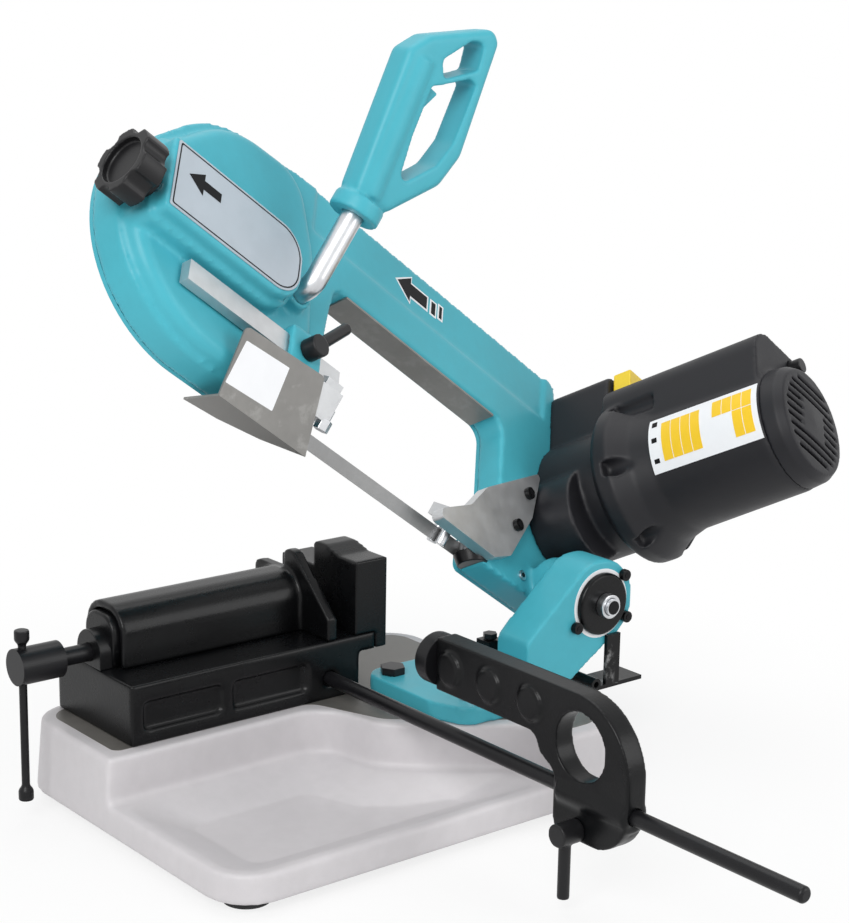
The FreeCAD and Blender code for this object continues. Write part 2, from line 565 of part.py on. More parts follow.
# Bar stop
keep(turned("stop_rod", [
    (zero, s.rod_near), (s.rod_radius - s.clamp_slit, s.rod_near), (s.rod_radius,
        s.rod_near + s.clamp_slit),
    (s.rod_radius, s.rod_far), (zero, s.rod_far)], at(s.rod_x, zero, s.rod_z, to_y)))

arm = new_body("stop_arm")
arm_low = s.rod_x - s.arm_thick / 2
arm_high = s.rod_x + s.arm_thick / 2
ring_left = s.ring_y + s.ring_radius
ring_wall = s.arm_thick * RING_WALL_SHARE
arm_outline = [
    (s.arm_far, s.arm_under), (s.arm_far, s.arm_top), (s.arm_near, s.arm_top,
        s.ring_radius * ARM_CORNER_SHARES[0]),
    (s.arm_near, s.arm_foot, s.ring_radius * ARM_CORNER_SHARES[1]), (ring_left, s.arm_foot, ring_wall),
    (ring_left, s.rod_z + s.clamp_radius, ring_wall), (ring_left + ring_wall * ARM_WEB_SHARES[0],
        s.rod_z + s.clamp_radius * ARM_WEB_SHARES[1], ring_wall),
    (ring_left + ring_wall * ARM_WEB_SHARES[2], s.arm_under, ring_wall)]
add(arm, "x", [arm_outline], arm_low, arm_high)
add(arm, "y", [round_hole(s.rod_x, s.rod_z, s.clamp_radius)], s.arm_near + s.clamp_slit,
    s.arm_near + s.clamp_length * CLAMP_SHARE)
boss_z = (s.arm_top + s.arm_under) / 2
for step in range(ARM_BOSSES):
    add(arm, "x", [round_hole(s.boss_first - s.boss_step * step, boss_z, s.boss_radius)],
        arm_low - s.boss_height, arm_low)
cut(arm, "x", [round_hole(s.ring_y, s.ring_z, s.ring_radius)], arm_low - s.boss_height,
    arm_high + s.boss_height)
cut(arm, "y", [round_hole(s.rod_x, s.rod_z, s.rod_radius + s.fit)], s.arm_near - s.gap, s.arm_far)
cut(arm, "y", [rectangle(s.rod_x - s.clamp_slit / 2, s.rod_x + s.clamp_slit / 2, s.arm_foot - s.gap,
    s.rod_z)],
    s.arm_near - s.gap, ring_left + s.gap)
cut(arm, "x", [round_hole(s.lever_y, s.lever_z, s.clamp_screw + s.fit)], arm_low - s.gap, arm_high + s.gap)
cut(arm, "y", [round_hole(s.rod_x, s.pad_z, s.pad_stem + s.loose)], s.arm_far - s.pad_stem_length - s.gap,
    s.arm_far)
keep(arm)

keep(turned("stop_pad", [
    (zero, -s.pad_stem_length), (s.pad_stem, -s.pad_stem_length), (s.pad_stem, zero), (s.pad_radius, zero),
    (s.pad_radius, s.pad_thick - s.clamp_slit), (s.pad_radius - s.clamp_slit, s.pad_thick), (zero,
        s.pad_thick)],
    at(s.rod_x, s.arm_far, s.pad_z, to_y)))

lever = new_body("stop_lever")
hub_low = arm_low - s.lever_hub_length
add(lever, "x", [round_hole(s.lever_y, s.lever_z, s.lever_hub)], hub_low, arm_low - s.gap)
add(lever, "x", [round_hole(s.lever_y, s.lever_z, s.clamp_screw)], arm_low - s.gap, arm_high)
add(lever, "z", [round_hole(hub_low + s.lever_hub, s.lever_y, s.lever_thick)], s.lever_z - s.lever_drop,
    s.lever_z)
keep(lever)

# Turntable
table = new_body("turntable")
plate = [(s.pivot_x + s.plate_span * p[0], s.pivot_y + s.plate_span * p[1],
    s.plate_span * p[2]) for p in PLATE_SHARES]
add(table, "z", [plate], s.deck_top, s.plate_top)
lug = [(s.lug_left, s.deck_top), (s.lug_left, s.lug_shoulder, s.panel_depth),
       (s.hinge_x + s.lug_radius * LUG_LEFT_SHARES[0], s.hinge_z + s.lug_radius * LUG_LEFT_SHARES[1]),
       (s.hinge_x + s.lug_radius * LUG_RIGHT_SHARES[0], s.hinge_z + s.lug_radius * LUG_RIGHT_SHARES[1]),
       (s.lug_right, s.deck_top)]
add(table, "y", [lug], s.lug_near, s.lug_far)
add(table, "y", [round_hole(s.hinge_x, s.hinge_z, s.lug_radius)], s.lug_near, s.lug_far)
cut(table, "y", [round_hole(s.hinge_x, s.hinge_z, s.shaft_radius + s.fit)], s.lug_near, s.lug_far)
cut(table, "y", [round_hole(s.hinge_x, s.hinge_z, s.spring_cavity)], s.lug_near,
    s.lug_near + s.spring_cavity_depth)
screw_at = []
for angle in SCREW_ANGLES:
    dx, dz = polar(s.hinge_screw_circle, angle)
    screw_at.append((s.hinge_x + dx, s.hinge_z + dz))
cut(table, "y", [round_hole(x, z, s.hinge_screw_radius + s.loose) for x, z in screw_at], s.lug_near,
    s.lug_near + s.hinge_screw_length + s.gap)
bolt_dx, bolt_dy = polar(s.slot_radius, s.bolt_angle)
bolt_x = s.pivot_x + bolt_dx
bolt_y = s.pivot_y + bolt_dy
cut(table, "z", [round_hole(s.pivot_x, s.pivot_y, s.pivot_radius + s.fit),
    round_hole(bolt_x, bolt_y, s.bolt_radius + s.loose),
                 round_hole(s.stop_x, s.stop_y, s.stop_bolt_radius + s.loose)], s.deck_top, s.plate_top)
keep(table)


def bolt(label, x, y, low, shoulder, head, radius, head_radius):
    """A bolt with a hexagon head."""
    body = new_body(label, at(x, y, zero))
    add(body, "z", [round_hole(zero, zero, radius)], low, shoulder)
    corners = [polar(head_radius, 60 * i) for i in range(6)]
    add(body, "z", [corners], shoulder, head)
    return keep(body)


bolt("pivot_bolt", s.pivot_x, s.pivot_y, s.deck_top - s.slot_depth, s.plate_top + s.slide_gap,
     s.plate_top + s.pivot_head_height, s.pivot_radius, s.pivot_head)
bolt("lock_bolt", bolt_x, bolt_y, s.deck_top - s.slot_depth + s.gap, s.plate_top,
     s.plate_top + s.bolt_head_height, s.bolt_radius, s.bolt_head)
stop_under = s.stop_bolt_top - s.stop_bolt_head_height
bolt("down_stop_bolt", s.stop_x, s.stop_y, s.deck_top + s.gap, stop_under, s.stop_bolt_top,
    s.stop_bolt_radius,
     s.stop_bolt_head)
block = new_body("down_stop_block")
half_block = s.stop_side / 2
add(block, "z", [rectangle(s.stop_x - half_block, s.stop_x + half_block, s.stop_y - half_block,
    s.stop_y + half_block),
                 round_hole(s.stop_x, s.stop_y, s.stop_bolt_radius + s.loose)], s.plate_top, s.stop_top)
keep(block)

scale = new_body("mitre_scale")
add(scale, "z", [arc_band(s.pivot_x, s.pivot_y, s.scale_inner, s.scale_outer, *SCALE_ANGLES)], s.deck_top,
    s.deck_top + s.scale_thick)
keep(scale)

# Hinge between turntable and bow
hinge_line = at(s.hinge_x, zero, s.hinge_z, to_y)
keep(turned("hinge_shaft", [
    (zero, s.thread_end), (s.shaft_neck, s.thread_end), (s.shaft_neck, s.lug_near), (s.shaft_radius,
        s.lug_near),
    (s.shaft_radius, s.shaft_end), (zero, s.shaft_end)], hinge_line))
cap_near = s.lug_near - s.cap_thick
keep(turned("hinge_cap", [
    (s.shaft_neck + s.fit, cap_near), (s.cap_radius - s.clamp_slit, cap_near), (s.cap_radius,
        cap_near + s.clamp_slit),
    (s.cap_radius, s.lug_near), (s.shaft_neck + s.fit, s.lug_near)], hinge_line))
keep(turned("hinge_nut", [
    (s.shaft_neck + s.fit, cap_near - s.ring_nut_thick), (s.ring_nut_radius, cap_near - s.ring_nut_thick),
    (s.ring_nut_radius, cap_near), (s.shaft_neck + s.fit, cap_near)], hinge_line))
hinge_screws = []
for number, (x, z) in enumerate(screw_at, start=1):
    screw = new_body(f"hinge_screw_{number}")
    add(screw, "y", [round_hole(x, z, s.hinge_screw_radius)], s.lug_near, s.lug_near + s.hinge_screw_length)
    add(screw, "y", [round_hole(x, z, s.hinge_screw_head)], s.lug_near - s.hinge_screw_head_height,
        s.lug_near)
    hinge_screws.append(screw)
group("hinge_screws", hinge_screws)

bracket = new_body("hinge_bracket")
bracket_near = s.lug_near - s.bracket_thick
foot_top = s.bracket_foot + s.bracket_thick
add(bracket, "y", [rectangle(s.bracket_left, s.bracket_right, s.bracket_foot, s.bracket_top)], bracket_near,
    s.lug_near)
add(bracket, "z", [rectangle(s.eye_x, s.bracket_foot_right, bracket_near, bracket_near + s.bracket_depth)],
    s.bracket_foot, foot_top)
eye_z = s.bracket_foot + s.eye_radius
add(bracket, "y", [round_hole(s.eye_x, eye_z, s.eye_radius)], bracket_near, bracket_near + s.bracket_depth)
cut(bracket, "y", [round_hole(s.eye_x, eye_z, s.eye_bore)], bracket_near, bracket_near + s.bracket_depth)
keep(bracket)


def coil(radius, wire, pitch, turns):
    """A wound spring about Z, as one tube along half-turn arcs."""
    def spot(turn):
        angle = 2 * math.pi * turn
        return Vector(radius * math.cos(angle), radius * math.sin(angle), pitch * turn)
    arcs = [Part.Arc(spot(k / 2), spot(k / 2 + 0.25),
        spot(k / 2 + 0.5)).toShape() for k in range(2 * turns)]
    line = Part.Wire(arcs)
    section = Part.Wire(Part.Circle(spot(0), line.Edges[0].tangentAt(line.Edges[0].FirstParameter),
        wire).toShape())
    return line.makePipeShell([section], True, False)


spring = doc.addObject("Part::Feature", "return_spring")
coil_radius = s.shaft_radius + s.spring_wire + s.spring_side_gap
spring.Shape = coil(float(coil_radius), float(s.spring_wire), float(s.spring_pitch), SPRING_TURNS)
spring.Placement = at(s.hinge_x, s.lug_near + s.spring_wire + s.gap, s.hinge_z, to_y)
keep(spring, "return_spring")

# Bow casting: a channel that is open at the back, with a knuckle for the hinge


def w(points):
    """Outline points given along the bow, turned into the frame of the wheels."""
    return [(-p[0], *p[1:]) for p in points]


big = s.bow_round
outline = w([
    (s.beam_end, s.beam_top, big), (s.beam_end, s.beam_top - big * BACK_SHARES[0], big * BACK_SHARES[1]),
    (-s.housing_reach, s.beam_under, big * HOUSING_SHARES[0]), (-s.housing_reach, s.chin_low,
        big * HOUSING_SHARES[1]),
    (s.chin_tip, s.chin_low, big * CHIN_SHARE), (s.chin_tip, s.chin_top, big * CHIN_SHARE), (s.neck_face,
        s.chin_top + big, big),
    (s.neck_face, s.beam_under, big), (s.throat_end, s.beam_under, big),
    (s.throat_end + big, s.chin_top + big * THROAT_SHARES[0], big), (s.throat_end + big * THROAT_SHARES[1],
        s.idler_low, big * THROAT_SHARES[2]),
    (s.idler_tip, s.idler_low, s.idler_low_round), (s.idler_tip, s.nose_side, s.nose_side_round),
    (s.nose_bend, s.nose_top, s.nose_round), (s.brow, s.brow_top, big * BROW_SHARE)])
frame = new_body("bow_casting", wheels)
add(frame, "z", [outline], s.bow_far, s.bow_near)
dome = w([
    (s.throat_end + big * DOME_SHARES[0], s.chin_top,
        big * DOME_SHARES[1]), (s.throat_end + big * DOME_SHARES[2], s.idler_low + s.cover_thick,
        big * DOME_SHARES[3]),
    (s.idler_tip - s.cover_thick, s.idler_low + s.cover_thick, s.idler_low_round),
    (s.idler_tip - s.cover_thick, s.dome_side, s.dome_side_round),
    (s.dome_bend, s.dome_bend_top, s.dome_bend_round), (s.throat_end + big * DOME_SHARES[4], s.dome_top,
        big * DOME_SHARES[5]),
    (s.throat_end + big * DOME_SHARES[5], s.beam_under, big * DOME_SHARES[5])])
add(frame, "z", [dome], s.bow_near, s.dome_near)
doc.recompute()
soften(frame, s.dome_round,
    lambda e: abs(e.BoundBox.ZMin - float(s.dome_near)) < TOUCH
     and abs(e.BoundBox.ZMax - float(s.dome_near)) < TOUCH)
box = [(-s.box_end, s.box_low, s.box_round), (-s.box_start, s.box_low, s.box_end_round),
       (-s.box_start, s.box_high, s.box_end_round), (-s.box_end, s.box_high, s.box_round)]
add(frame, "z", [box], s.bow_near, s.box_step)
add(frame, "z", [inset(box, s.box_draft)], s.box_step, s.box_near)
holder = rectangle(-s.holder_end, -s.holder_start, s.holder_low, s.holder_high, s.panel_depth)
add(frame, "z", [holder], s.bow_near - s.bow_web, s.holder_near)
add(frame, "z", [round_hole(-s.tube_u + s.drive_shift, s.tube_v, s.tube_boss)], s.bow_near - s.bow_web,
    s.tube_boss_end)
inner = inset(outline, s.bow_wall)


def cut_far(body, shapes, depth_to):
    """A recess from the open back of the bow up to a level."""
    cut(body, "z", shapes, s.bow_far, depth_to)


cut_far(frame, [inner], s.bow_near - s.bow_web)
cut(frame, "z", [rectangle(-s.band_end, -s.band_start, s.band_low, s.beam_top + s.gap)],
    s.bow_near - s.band_drop,
    s.bow_near)
cut_far(frame, [inset(dome, s.dome_skin * DOME_HOLLOW_SHARE)], s.dome_near - s.dome_skin)
blade_way = rectangle(-s.throat_end - s.bow_round * BLADE_WAY_SHARES[0], -s.neck_face,
    -s.wheel_radius - s.blade_width * BLADE_WAY_SHARES[1],
                      -s.wheel_radius + s.blade_width * BLADE_WAY_SHARES[1])
cut_far(frame, [blade_way], s.bow_near - s.bow_web)
slide_mid = -s.centre_distance
rail = s.slide_half_width
cut(frame, "z", [rectangle(slide_mid - s.slide_half_length - s.slide_travel,
    slide_mid + s.slide_half_length + s.slide_travel,
                           -rail, rail)], s.slide_far - s.gap, s.slide_near + s.gap)
cut_far(frame, [rectangle(slide_mid - s.stud_radius - s.slide_travel,
    slide_mid + s.stud_radius + s.slide_travel,
                          -s.stud_radius - s.gap, s.stud_radius + s.gap)], s.slide_far)
cut(frame, "x", [round_hole(zero, s.screw_level, s.tension_radius + s.fit)], -s.box_end, -s.centre_distance)
cut(frame, "x", [rectangle(s.slide_bar_low - s.gap, s.slide_bar_high + s.gap, s.slide_bar_far - s.gap,
    s.slide_bar_near + s.gap)],
    -s.holder_end - s.panel_depth, -s.holder_start + s.gap)
bar_mid = (s.slide_bar_low + s.slide_bar_high) / 2
cut(frame, "z", [round_hole(-s.guide_lever_u, bar_mid, s.guide_lever_screw + s.fit)], s.slide_bar_near,
    s.holder_near)
cut(frame, "z", [round_hole(-s.tube_u + s.drive_shift, s.tube_v, s.tube_radius + s.fit)],
    s.tube_root - s.gap, s.tube_boss_end)
cut(frame, "z", [round_hole(zero, zero, s.bearing_radius + s.fit)], s.bow_near - s.bow_web, s.bow_near)
cut(frame, "z", [round_hole(-s.motor_u, s.motor_v, s.pinion_radius + s.gap * PINION_ROOM_SHARE)],
    s.bow_near - s.bow_web, s.bow_near)
screw_points = [(-s.centre_distance * x, s.beam_top * y) for x, y in COVER_SCREW_SHARES]
for x, y in screw_points:
    add(frame, "z", [round_hole(x, y, s.cover_boss)], s.bow_far, s.bow_near - s.bow_web)
cut_far(frame, [round_hole(x, y, s.cover_screw_radius + s.loose) for x, y in screw_points],
    s.bow_far + s.cover_screw_length + s.gap)
guide_screw_points = [(-s.guide_span * x, s.guide_span * y) for x, y in GUIDE_SCREW_SHARES]
cut(frame, "z", [round_hole(x, y, s.guide_screw_radius + s.loose) for x, y in guide_screw_points],
    s.bow_near - s.bow_web, s.bow_near)

knuckle = new_body("bow_knuckle", bow)
add(knuckle, "y", [round_hole(zero, zero, s.knuckle_radius)], s.knuckle_near, s.knuckle_far)
knuckle_bore = new_body("bow_bore", bow)
add(knuckle_bore, "y", [round_hole(zero, zero, s.bush_radius + s.fit)], s.knuckle_near - s.gap,
    s.shaft_end + s.gap)
joined("bow_frame", [frame, knuckle], [knuckle_bore])

bushes = []
for number, start in enumerate((s.knuckle_near, s.knuckle_far - s.bush_length), start=1):
    bush = new_body(f"bush_{number}", bow)
    add(bush, "y", [round_hole(zero, zero, s.bush_radius), round_hole(zero, zero, s.shaft_radius + s.fit)],
        start,
        start + s.bush_length)
    bushes.append(bush)
group("hinge_bushes", bushes)

cover = new_body("wheel_cover", wheels)
cover_far = s.bow_far - s.cover_thick
add(cover, "z", [inset(outline, s.cover_inset)], cover_far, s.bow_far)
cut(cover, "z", [round_hole(x, y, s.cover_screw_radius + s.loose) for x, y in screw_points], cover_far,
    s.bow_far)
keep(cover)
cover_screws = []
for number, (x, y) in enumerate(screw_points, start=1):
    screw = new_body(f"cover_screw_{number}", wheels)
    add(screw, "z", [round_hole(x, y, s.cover_screw_radius)], cover_far, s.bow_far + s.cover_screw_length)
    add(screw, "z", [round_hole(x, y, s.cover_screw_head)], cover_far - s.cover_screw_head_height,
        cover_far)
    cover_screws.append(screw)
group("cover_screws", cover_screws)

strip = new_body("beam_strip", wheels)
add(strip, "z", [rectangle(-s.strip_end, -s.strip_start, s.beam_under - s.strip_thick, s.beam_under)],
    s.bow_far, s.bow_near)
keep(strip)

# Wheels, shafts and gears
rim = s.wheel_radius - s.wheel_gap


def wheel(label, bore, place):
    """A flanged blade wheel."""
    rim_in = rim - s.rim_thick
    flange = rim + s.flange_rise
    near = s.rim_half + s.flange_thick
    return keep(turned(label, [
        (bore, -s.rim_half), (s.wheel_hub, -s.rim_half), (s.wheel_hub, s.wheel_web_low), (rim_in,
            s.wheel_web_low),
        (rim_in, -s.rim_half), (rim, -s.rim_half), (rim, s.rim_half), (flange, s.rim_half), (flange, near),
        (rim_in, near), (rim_in, s.wheel_web_high), (s.wheel_hub, s.wheel_web_high), (s.wheel_hub,
            near), (bore, near)],
        place))


def ring(label, inner_radius, outer_radius, low, high, place):
    """A plain ring about Z."""
    body = new_body(label, place)
    add(body, "z", [round_hole(zero, zero, outer_radius), round_hole(zero, zero, inner_radius)], low, high)
    return body


def plug(label, radius, length, place):
    """A plain round about Z, from zero to a length."""
    body = new_body(label, place)
    add(body, "z", [round_hole(zero, zero, radius)], zero, length)
    return body


idler_place = wheels * at(-s.centre_distance, zero, zero)
motor_place = wheels * at(-s.motor_u, s.motor_v, zero)
wheel("drive_wheel", s.drive_shaft_radius + s.fit, wheels)
wheel("idler_wheel", s.idler_bearing_radius + s.fit, idler_place)
shaft = new_body("drive_shaft", wheels)
add(shaft, "z", [round_hole(zero, zero, s.drive_shaft_radius)], -s.rim_half, s.bearing_two_high + s.gap)
keep(shaft)
group("drive_bearings", [
    ring("bearing_one", s.drive_shaft_radius + s.fit, s.bearing_radius, s.bow_near - s.bow_web, s.bow_near,
        wheels),
    ring("bearing_two", s.drive_shaft_radius + s.fit, s.bearing_radius, s.bearing_two_low,
        s.bearing_two_high, wheels)])
keep(ring("idler_bearing", s.stud_radius + s.fit, s.idler_bearing_radius, -s.idler_bearing_half,
    s.idler_bearing_half,
          idler_place))
keep(ring("driven_gear", s.drive_shaft_radius + s.fit, s.gear_radius, s.gear_low, s.gear_high, wheels))

gearbox = new_body("gearbox_round", motor_place)
add(gearbox, "z", [round_hole(zero, zero, s.gearbox_radius)], s.bow_near, s.gearbox_end)
gear_boss = new_body("gearbox_boss", wheels)
add(gear_boss, "z", [round_hole(zero, zero, s.boss_r_drive)], s.bow_near, s.boss_end)
room_one = new_body("gear_room", wheels)
add(room_one, "z", [round_hole(zero, zero, s.gear_room)], s.bow_near - s.gap, s.bearing_two_low)
room_bearing = new_body("bearing_room", wheels)
add(room_bearing, "z", [round_hole(zero, zero, s.bearing_radius + s.fit)], s.bearing_two_low - s.gap,
    s.bearing_two_high + s.gap * 2)
room_two = new_body("pinion_room", motor_place)
add(room_two, "z", [round_hole(zero, zero, s.pinion_room)], s.bow_near - s.gap, s.bearing_two_low)
room_shaft = new_body("rotor_room", motor_place)
add(room_shaft, "z", [round_hole(zero, zero, s.rotor_shaft + s.fit)], s.bearing_two_low - s.gap,
    s.gearbox_end + s.gap)
control = new_body("control_box", wheels)
add(control, "z", [rectangle(-s.control_left, -s.control_right, s.motor_v, s.control_top, s.box_round)],
    s.bow_near,
    s.gearbox_end)
joined("gearbox_housing", [gearbox, gear_boss, control], [room_one, room_bearing, room_two, room_shaft])

rotor = new_body("motor_rotor", motor_place)
add(rotor, "z", [round_hole(zero, zero, s.rotor_shaft)], s.gear_low, s.rotor_end)
add(rotor, "z", [round_hole(zero, zero, s.pinion_radius)], s.gear_low, s.gear_high)
add(rotor, "z", [round_hole(zero, zero, s.core_radius)], s.core_start, s.core_end)
keep(rotor)
keep(ring("motor_stator", s.stator_bore, s.core_bore - s.fit, s.core_start, s.core_end - s.gap,
    motor_place))
keep(ring("cooling_fan", s.rotor_shaft + s.fit, s.fan_radius, s.fan_start, s.fan_start + s.fan_thick,
    motor_place))

shell = turned("motor_shell", [
    (zero, s.gearbox_end), (s.cover_root, s.gearbox_end), (s.cover_flange, s.flange_start),
    (s.cover_flange, s.flange_end), (s.cover_neck, s.cover_neck_at), (s.cover_waist, s.cover_waist_at),
    (s.cover_mid, s.cover_mid_at), (s.cover_tail, s.cover_end), (zero, s.cover_end)], motor_place)
hump = new_body("motor_hump", motor_place)
add(hump, "z", [[(-s.hump_half, zero), (s.hump_half, zero), (s.hump_half, s.hump_top, s.hump_round),
                 (-s.hump_half, s.hump_top, s.hump_round)]], s.gearbox_end, s.hump_end)
hump_room = new_body("hump_room", motor_place)
add(hump_room, "z", [[(s.hump_skin - s.hump_half, s.hump_low), (s.hump_half - s.hump_skin, s.hump_low),
                      (s.hump_half - s.hump_skin, s.hump_top - s.hump_skin, s.hump_round - s.hump_skin),
                      (s.hump_skin - s.hump_half, s.hump_top - s.hump_skin, s.hump_round - s.hump_skin)]],
    s.flange_end + s.hump_skin, s.hump_end - s.hump_skin * 2)
hollow_motor = turned("motor_hollow", [
    (zero, s.gearbox_end + s.cover_skin), (s.core_bore, s.gearbox_end + s.cover_skin), (s.core_bore,
        s.core_end),
    (s.tail_bore, s.core_end), (s.tail_bore, s.cover_end + s.gap), (zero,
        s.cover_end + s.gap)], motor_place)
front_hole = new_body("motor_front_hole", motor_place)
add(front_hole, "z", [round_hole(zero, zero, s.core_radius)], s.gearbox_end - s.gap,
    s.gearbox_end + s.cover_skin + s.gap)
switch_room = new_body("switch_room", motor_place)
switch_half = s.switch_wide / 2
switch_left = -s.switch_side - switch_half
switch_right = -s.switch_side + switch_half
add(switch_room, "z", [rectangle(switch_left - s.gap, switch_right + s.gap, s.hump_top - s.switch_depth * 2,
                                 s.hump_top + s.gap)],
    s.switch_at - s.switch_long / 2 - s.gap, s.switch_at + s.switch_long / 2 + s.gap)
dial_place = motor_place * at(s.dial_side, s.dial_rise, s.dial_seat)
dial_room = plug("dial_room", s.dial_radius + s.dial_gap, s.dial_height, dial_place)
gland_place = motor_place * at(s.gland_out, zero, s.gland_at, to_minus_x)
gland_length = s.gland_out - s.gland_in
gland_room = plug("gland_room", s.gland_stem + s.fit, gland_length, gland_place)
joined("motor_cover", [shell, hump], [hollow_motor, hump_room, front_hole, switch_room, dial_room,
    gland_room])

switch = new_body("main_switch", motor_place)
add(switch, "z", [rectangle(switch_left, switch_right, s.hump_top - s.switch_depth,
    s.hump_top + s.switch_rise,
                            s.clamp_slit)],
    s.switch_at - s.switch_long / 2, s.switch_at + s.switch_long / 2)
keep(switch)
dial = new_body("speed_dial", dial_place)
add(dial, "z", [round_hole(zero, zero, s.dial_radius)], s.gap, s.dial_height)
keep(dial)
gland = ring("cable_gland", s.gland_bore, s.gland_stem, zero, gland_length, gland_place)
add(gland, "z", [round_hole(zero, zero, s.gland_radius), round_hole(zero, zero, s.gland_bore)], zero,
    s.gland_out - s.cover_waist - s.gap)
keep(gland)

end_cap = turned("motor_end_cap", [
    (s.cap_boss, s.cap_boss_start), (s.rotor_shaft + s.fit, s.cap_boss_start), (s.rotor_shaft + s.fit,
        s.rotor_end + s.gap),
    (zero, s.rotor_end + s.gap), (zero, s.cap_end), (s.cap_shoulder, s.cap_shoulder_at), (s.cap_skirt,
        s.cap_skirt_at),
    (s.cover_tail, s.cover_end), (s.tail_bore - s.gap, s.cover_end), (s.tail_bore - s.gap,
        s.cap_skirt_at - s.cover_skin),
    (s.cap_shoulder - s.cover_skin, s.cap_shoulder_at - s.cover_skin), (s.cap_boss,
        s.cap_shoulder_at - s.cover_skin)],
    motor_place)
slots = []
for number in range(LOUVRES):
    level = s.louvre_step * (number - (LOUVRES - 1) / 2)
    reach = Size(math.sqrt(float(s.louvre_reach) ** 2 - float(level) ** 2), s.louvre_reach.text)
    half_slot = s.louvre_width / 2
    keep_clear = s.cap_boss + s.louvre_width
    if abs(float(level)) > float(keep_clear):
        slots.append(rectangle(-reach, reach, level - half_slot, level + half_slot))
    else:
        slots.append(rectangle(-reach, -keep_clear, level - half_slot, level + half_slot))
        slots.append(rectangle(keep_clear, reach, level - half_slot, level + half_slot))
cut(end_cap, "z", slots, s.cap_shoulder_at - s.cover_skin * 2, s.cap_end)
keep(end_cap)

# Blade tension
slide = new_body("tension_slide", idler_place)
side = s.slide_half_width - s.slide_gap
add(slide, "z", [rectangle(-s.slide_half_length, s.slide_half_length, -side, side)], s.slide_far,
    s.slide_near)
add(slide, "z", [round_hole(zero, zero, s.stud_radius)], -s.rim_half, s.slide_far)
cut(slide, "x", [round_hole(zero, s.screw_level, s.tension_radius + s.fit)], -s.slide_half_length,
    s.slide_half_length)
keep(slide)
screw_place = wheels * at(zero, zero, s.screw_level, to_minus_x)
tension = new_body("tension_screw", screw_place)
add(tension, "z", [round_hole(zero, zero, s.tension_radius)], s.centre_distance - s.slide_half_length,
    s.box_end + s.knob_neck_length + s.knob_thick / 2)
keep(tension)
knob = new_body("tension_knob", screw_place)
knob_start = s.box_end + s.gap
add(knob, "z", [round_hole(zero, zero, s.knob_neck)], knob_start, knob_start + s.knob_neck_length)
knob_end = knob_start + s.knob_neck_length + s.knob_thick
add(knob, "z", [round_hole(zero, zero, s.knob_radius)], knob_start + s.knob_neck_length, knob_end)
scallops = []
for lobe in range(KNOB_LOBES):
    dx, dy = polar(s.knob_radius + s.knob_scallop * KNOB_GROOVE_SHARE, 360 * lobe / KNOB_LOBES)
    scallops.append(round_hole(dx, dy, s.knob_scallop))
cut(knob, "z", scallops, knob_start + s.knob_neck_length, knob_end)
cut(knob, "z", [round_hole(zero, zero, s.knob_dish)], knob_end - s.knob_dish_depth, knob_end)
cut(knob, "z", [round_hole(zero, zero, s.tension_radius + s.fit)], knob_start,
    s.box_end + s.knob_neck_length + s.knob_thick / 2 + s.gap)
keep(knob)
face = new_body("tension_plate", wheels)
add(face, "z", [inset(box, s.plate_margin)], s.box_near, s.box_near + s.plate_thick)
keep(face)

# Blade loop: flat on the wheels, twisted upright between the guides
twist = math.radians(90 - float(s.wheel_tilt))


def blade_sections():
    """Centre and width direction of each station round the loop, in the frame of the wheels."""
    radius = float(s.wheel_radius)
    distance = float(s.centre_distance)
    first = float(s.fixed_guide_u) - float(s.drive_shift) - float(s.guide_half)
    last = float(s.arm_guide_u) - float(s.drive_shift) + float(s.twist_end_margin)
    start = float(s.twist_clear)
    stations = []
    for step in range(TWIST_STEPS + 1):
        part = step / TWIST_STEPS
        stations.append((start + (first - start) * part, twist * part))
    for step in range(TWIST_STEPS + 1):
        part = step / TWIST_STEPS
        stations.append((last + (distance - start - last) * part, twist * (1 - part)))
    loop = [(Vector(-place, -radius, 0), Vector(0, math.sin(turn), math.cos(turn)),
        Vector(0, math.cos(turn), -math.sin(turn)))
            for place, turn in stations]
    flat = Vector(0, 0, 1)
    for centre, begin in ((-distance, -math.pi / 2), (0.0, math.pi / 2)):
        for step in range(ARC_STEPS + 1):
            angle = begin - math.pi * step / ARC_STEPS
            out = Vector(math.cos(angle), math.sin(angle), 0)
            loop.append((Vector(centre, 0, 0) + out * radius, flat, -out))
    return loop


def band(sections, width, thick):
    """A closed strip with a rectangular section."""
    rings = []
    for centre, across, inward in sections:
        rings.append([centre + across * (a * width / 2) + inward * (b * thick / 2)
                      for a, b in ((-1, -1), (1, -1), (1, 1), (-1, 1))])
    faces = []
    for now, then in zip(rings, rings[1:] + rings[:1]):
        for k in range(4):
            one = Part.LineSegment(now[k], now[(k + 1) % 4]).toShape()
            two = Part.LineSegment(then[k], then[(k + 1) % 4]).toShape()
            faces.append(Part.makeRuledSurface(one, two))
    shell_faces = Part.Shell(faces)
    shell_faces.sewShape()
    solid = Part.Solid(shell_faces)
    if solid.Volume < 0:
        solid.reverse()
    return solid


blade = doc.addObject("Part::Feature", "saw_blade")
blade.Shape = band(blade_sections(), float(s.blade_width), float(s.blade_thick))
blade.Placement = wheels
keep(blade, "saw_blade")


# Blade guides
def guide_block(label, middle, half):
    """The block above the blade that carries a guide's pins."""
    body = new_body(label, bow)
    add(body, "z", [rectangle(-middle - half, -middle + half,
                              s.cut_plane - s.guide_block_depth, s.cut_plane + s.guide_block_depth)],
        s.guide_block_low, s.guide_block_high)
    return body


def roller_lines(middle):
    offset = s.roller_radius + s.roller_gap + s.blade_thick / 2
    return [(-middle, s.cut_plane - offset), (-middle, s.cut_plane + offset)]


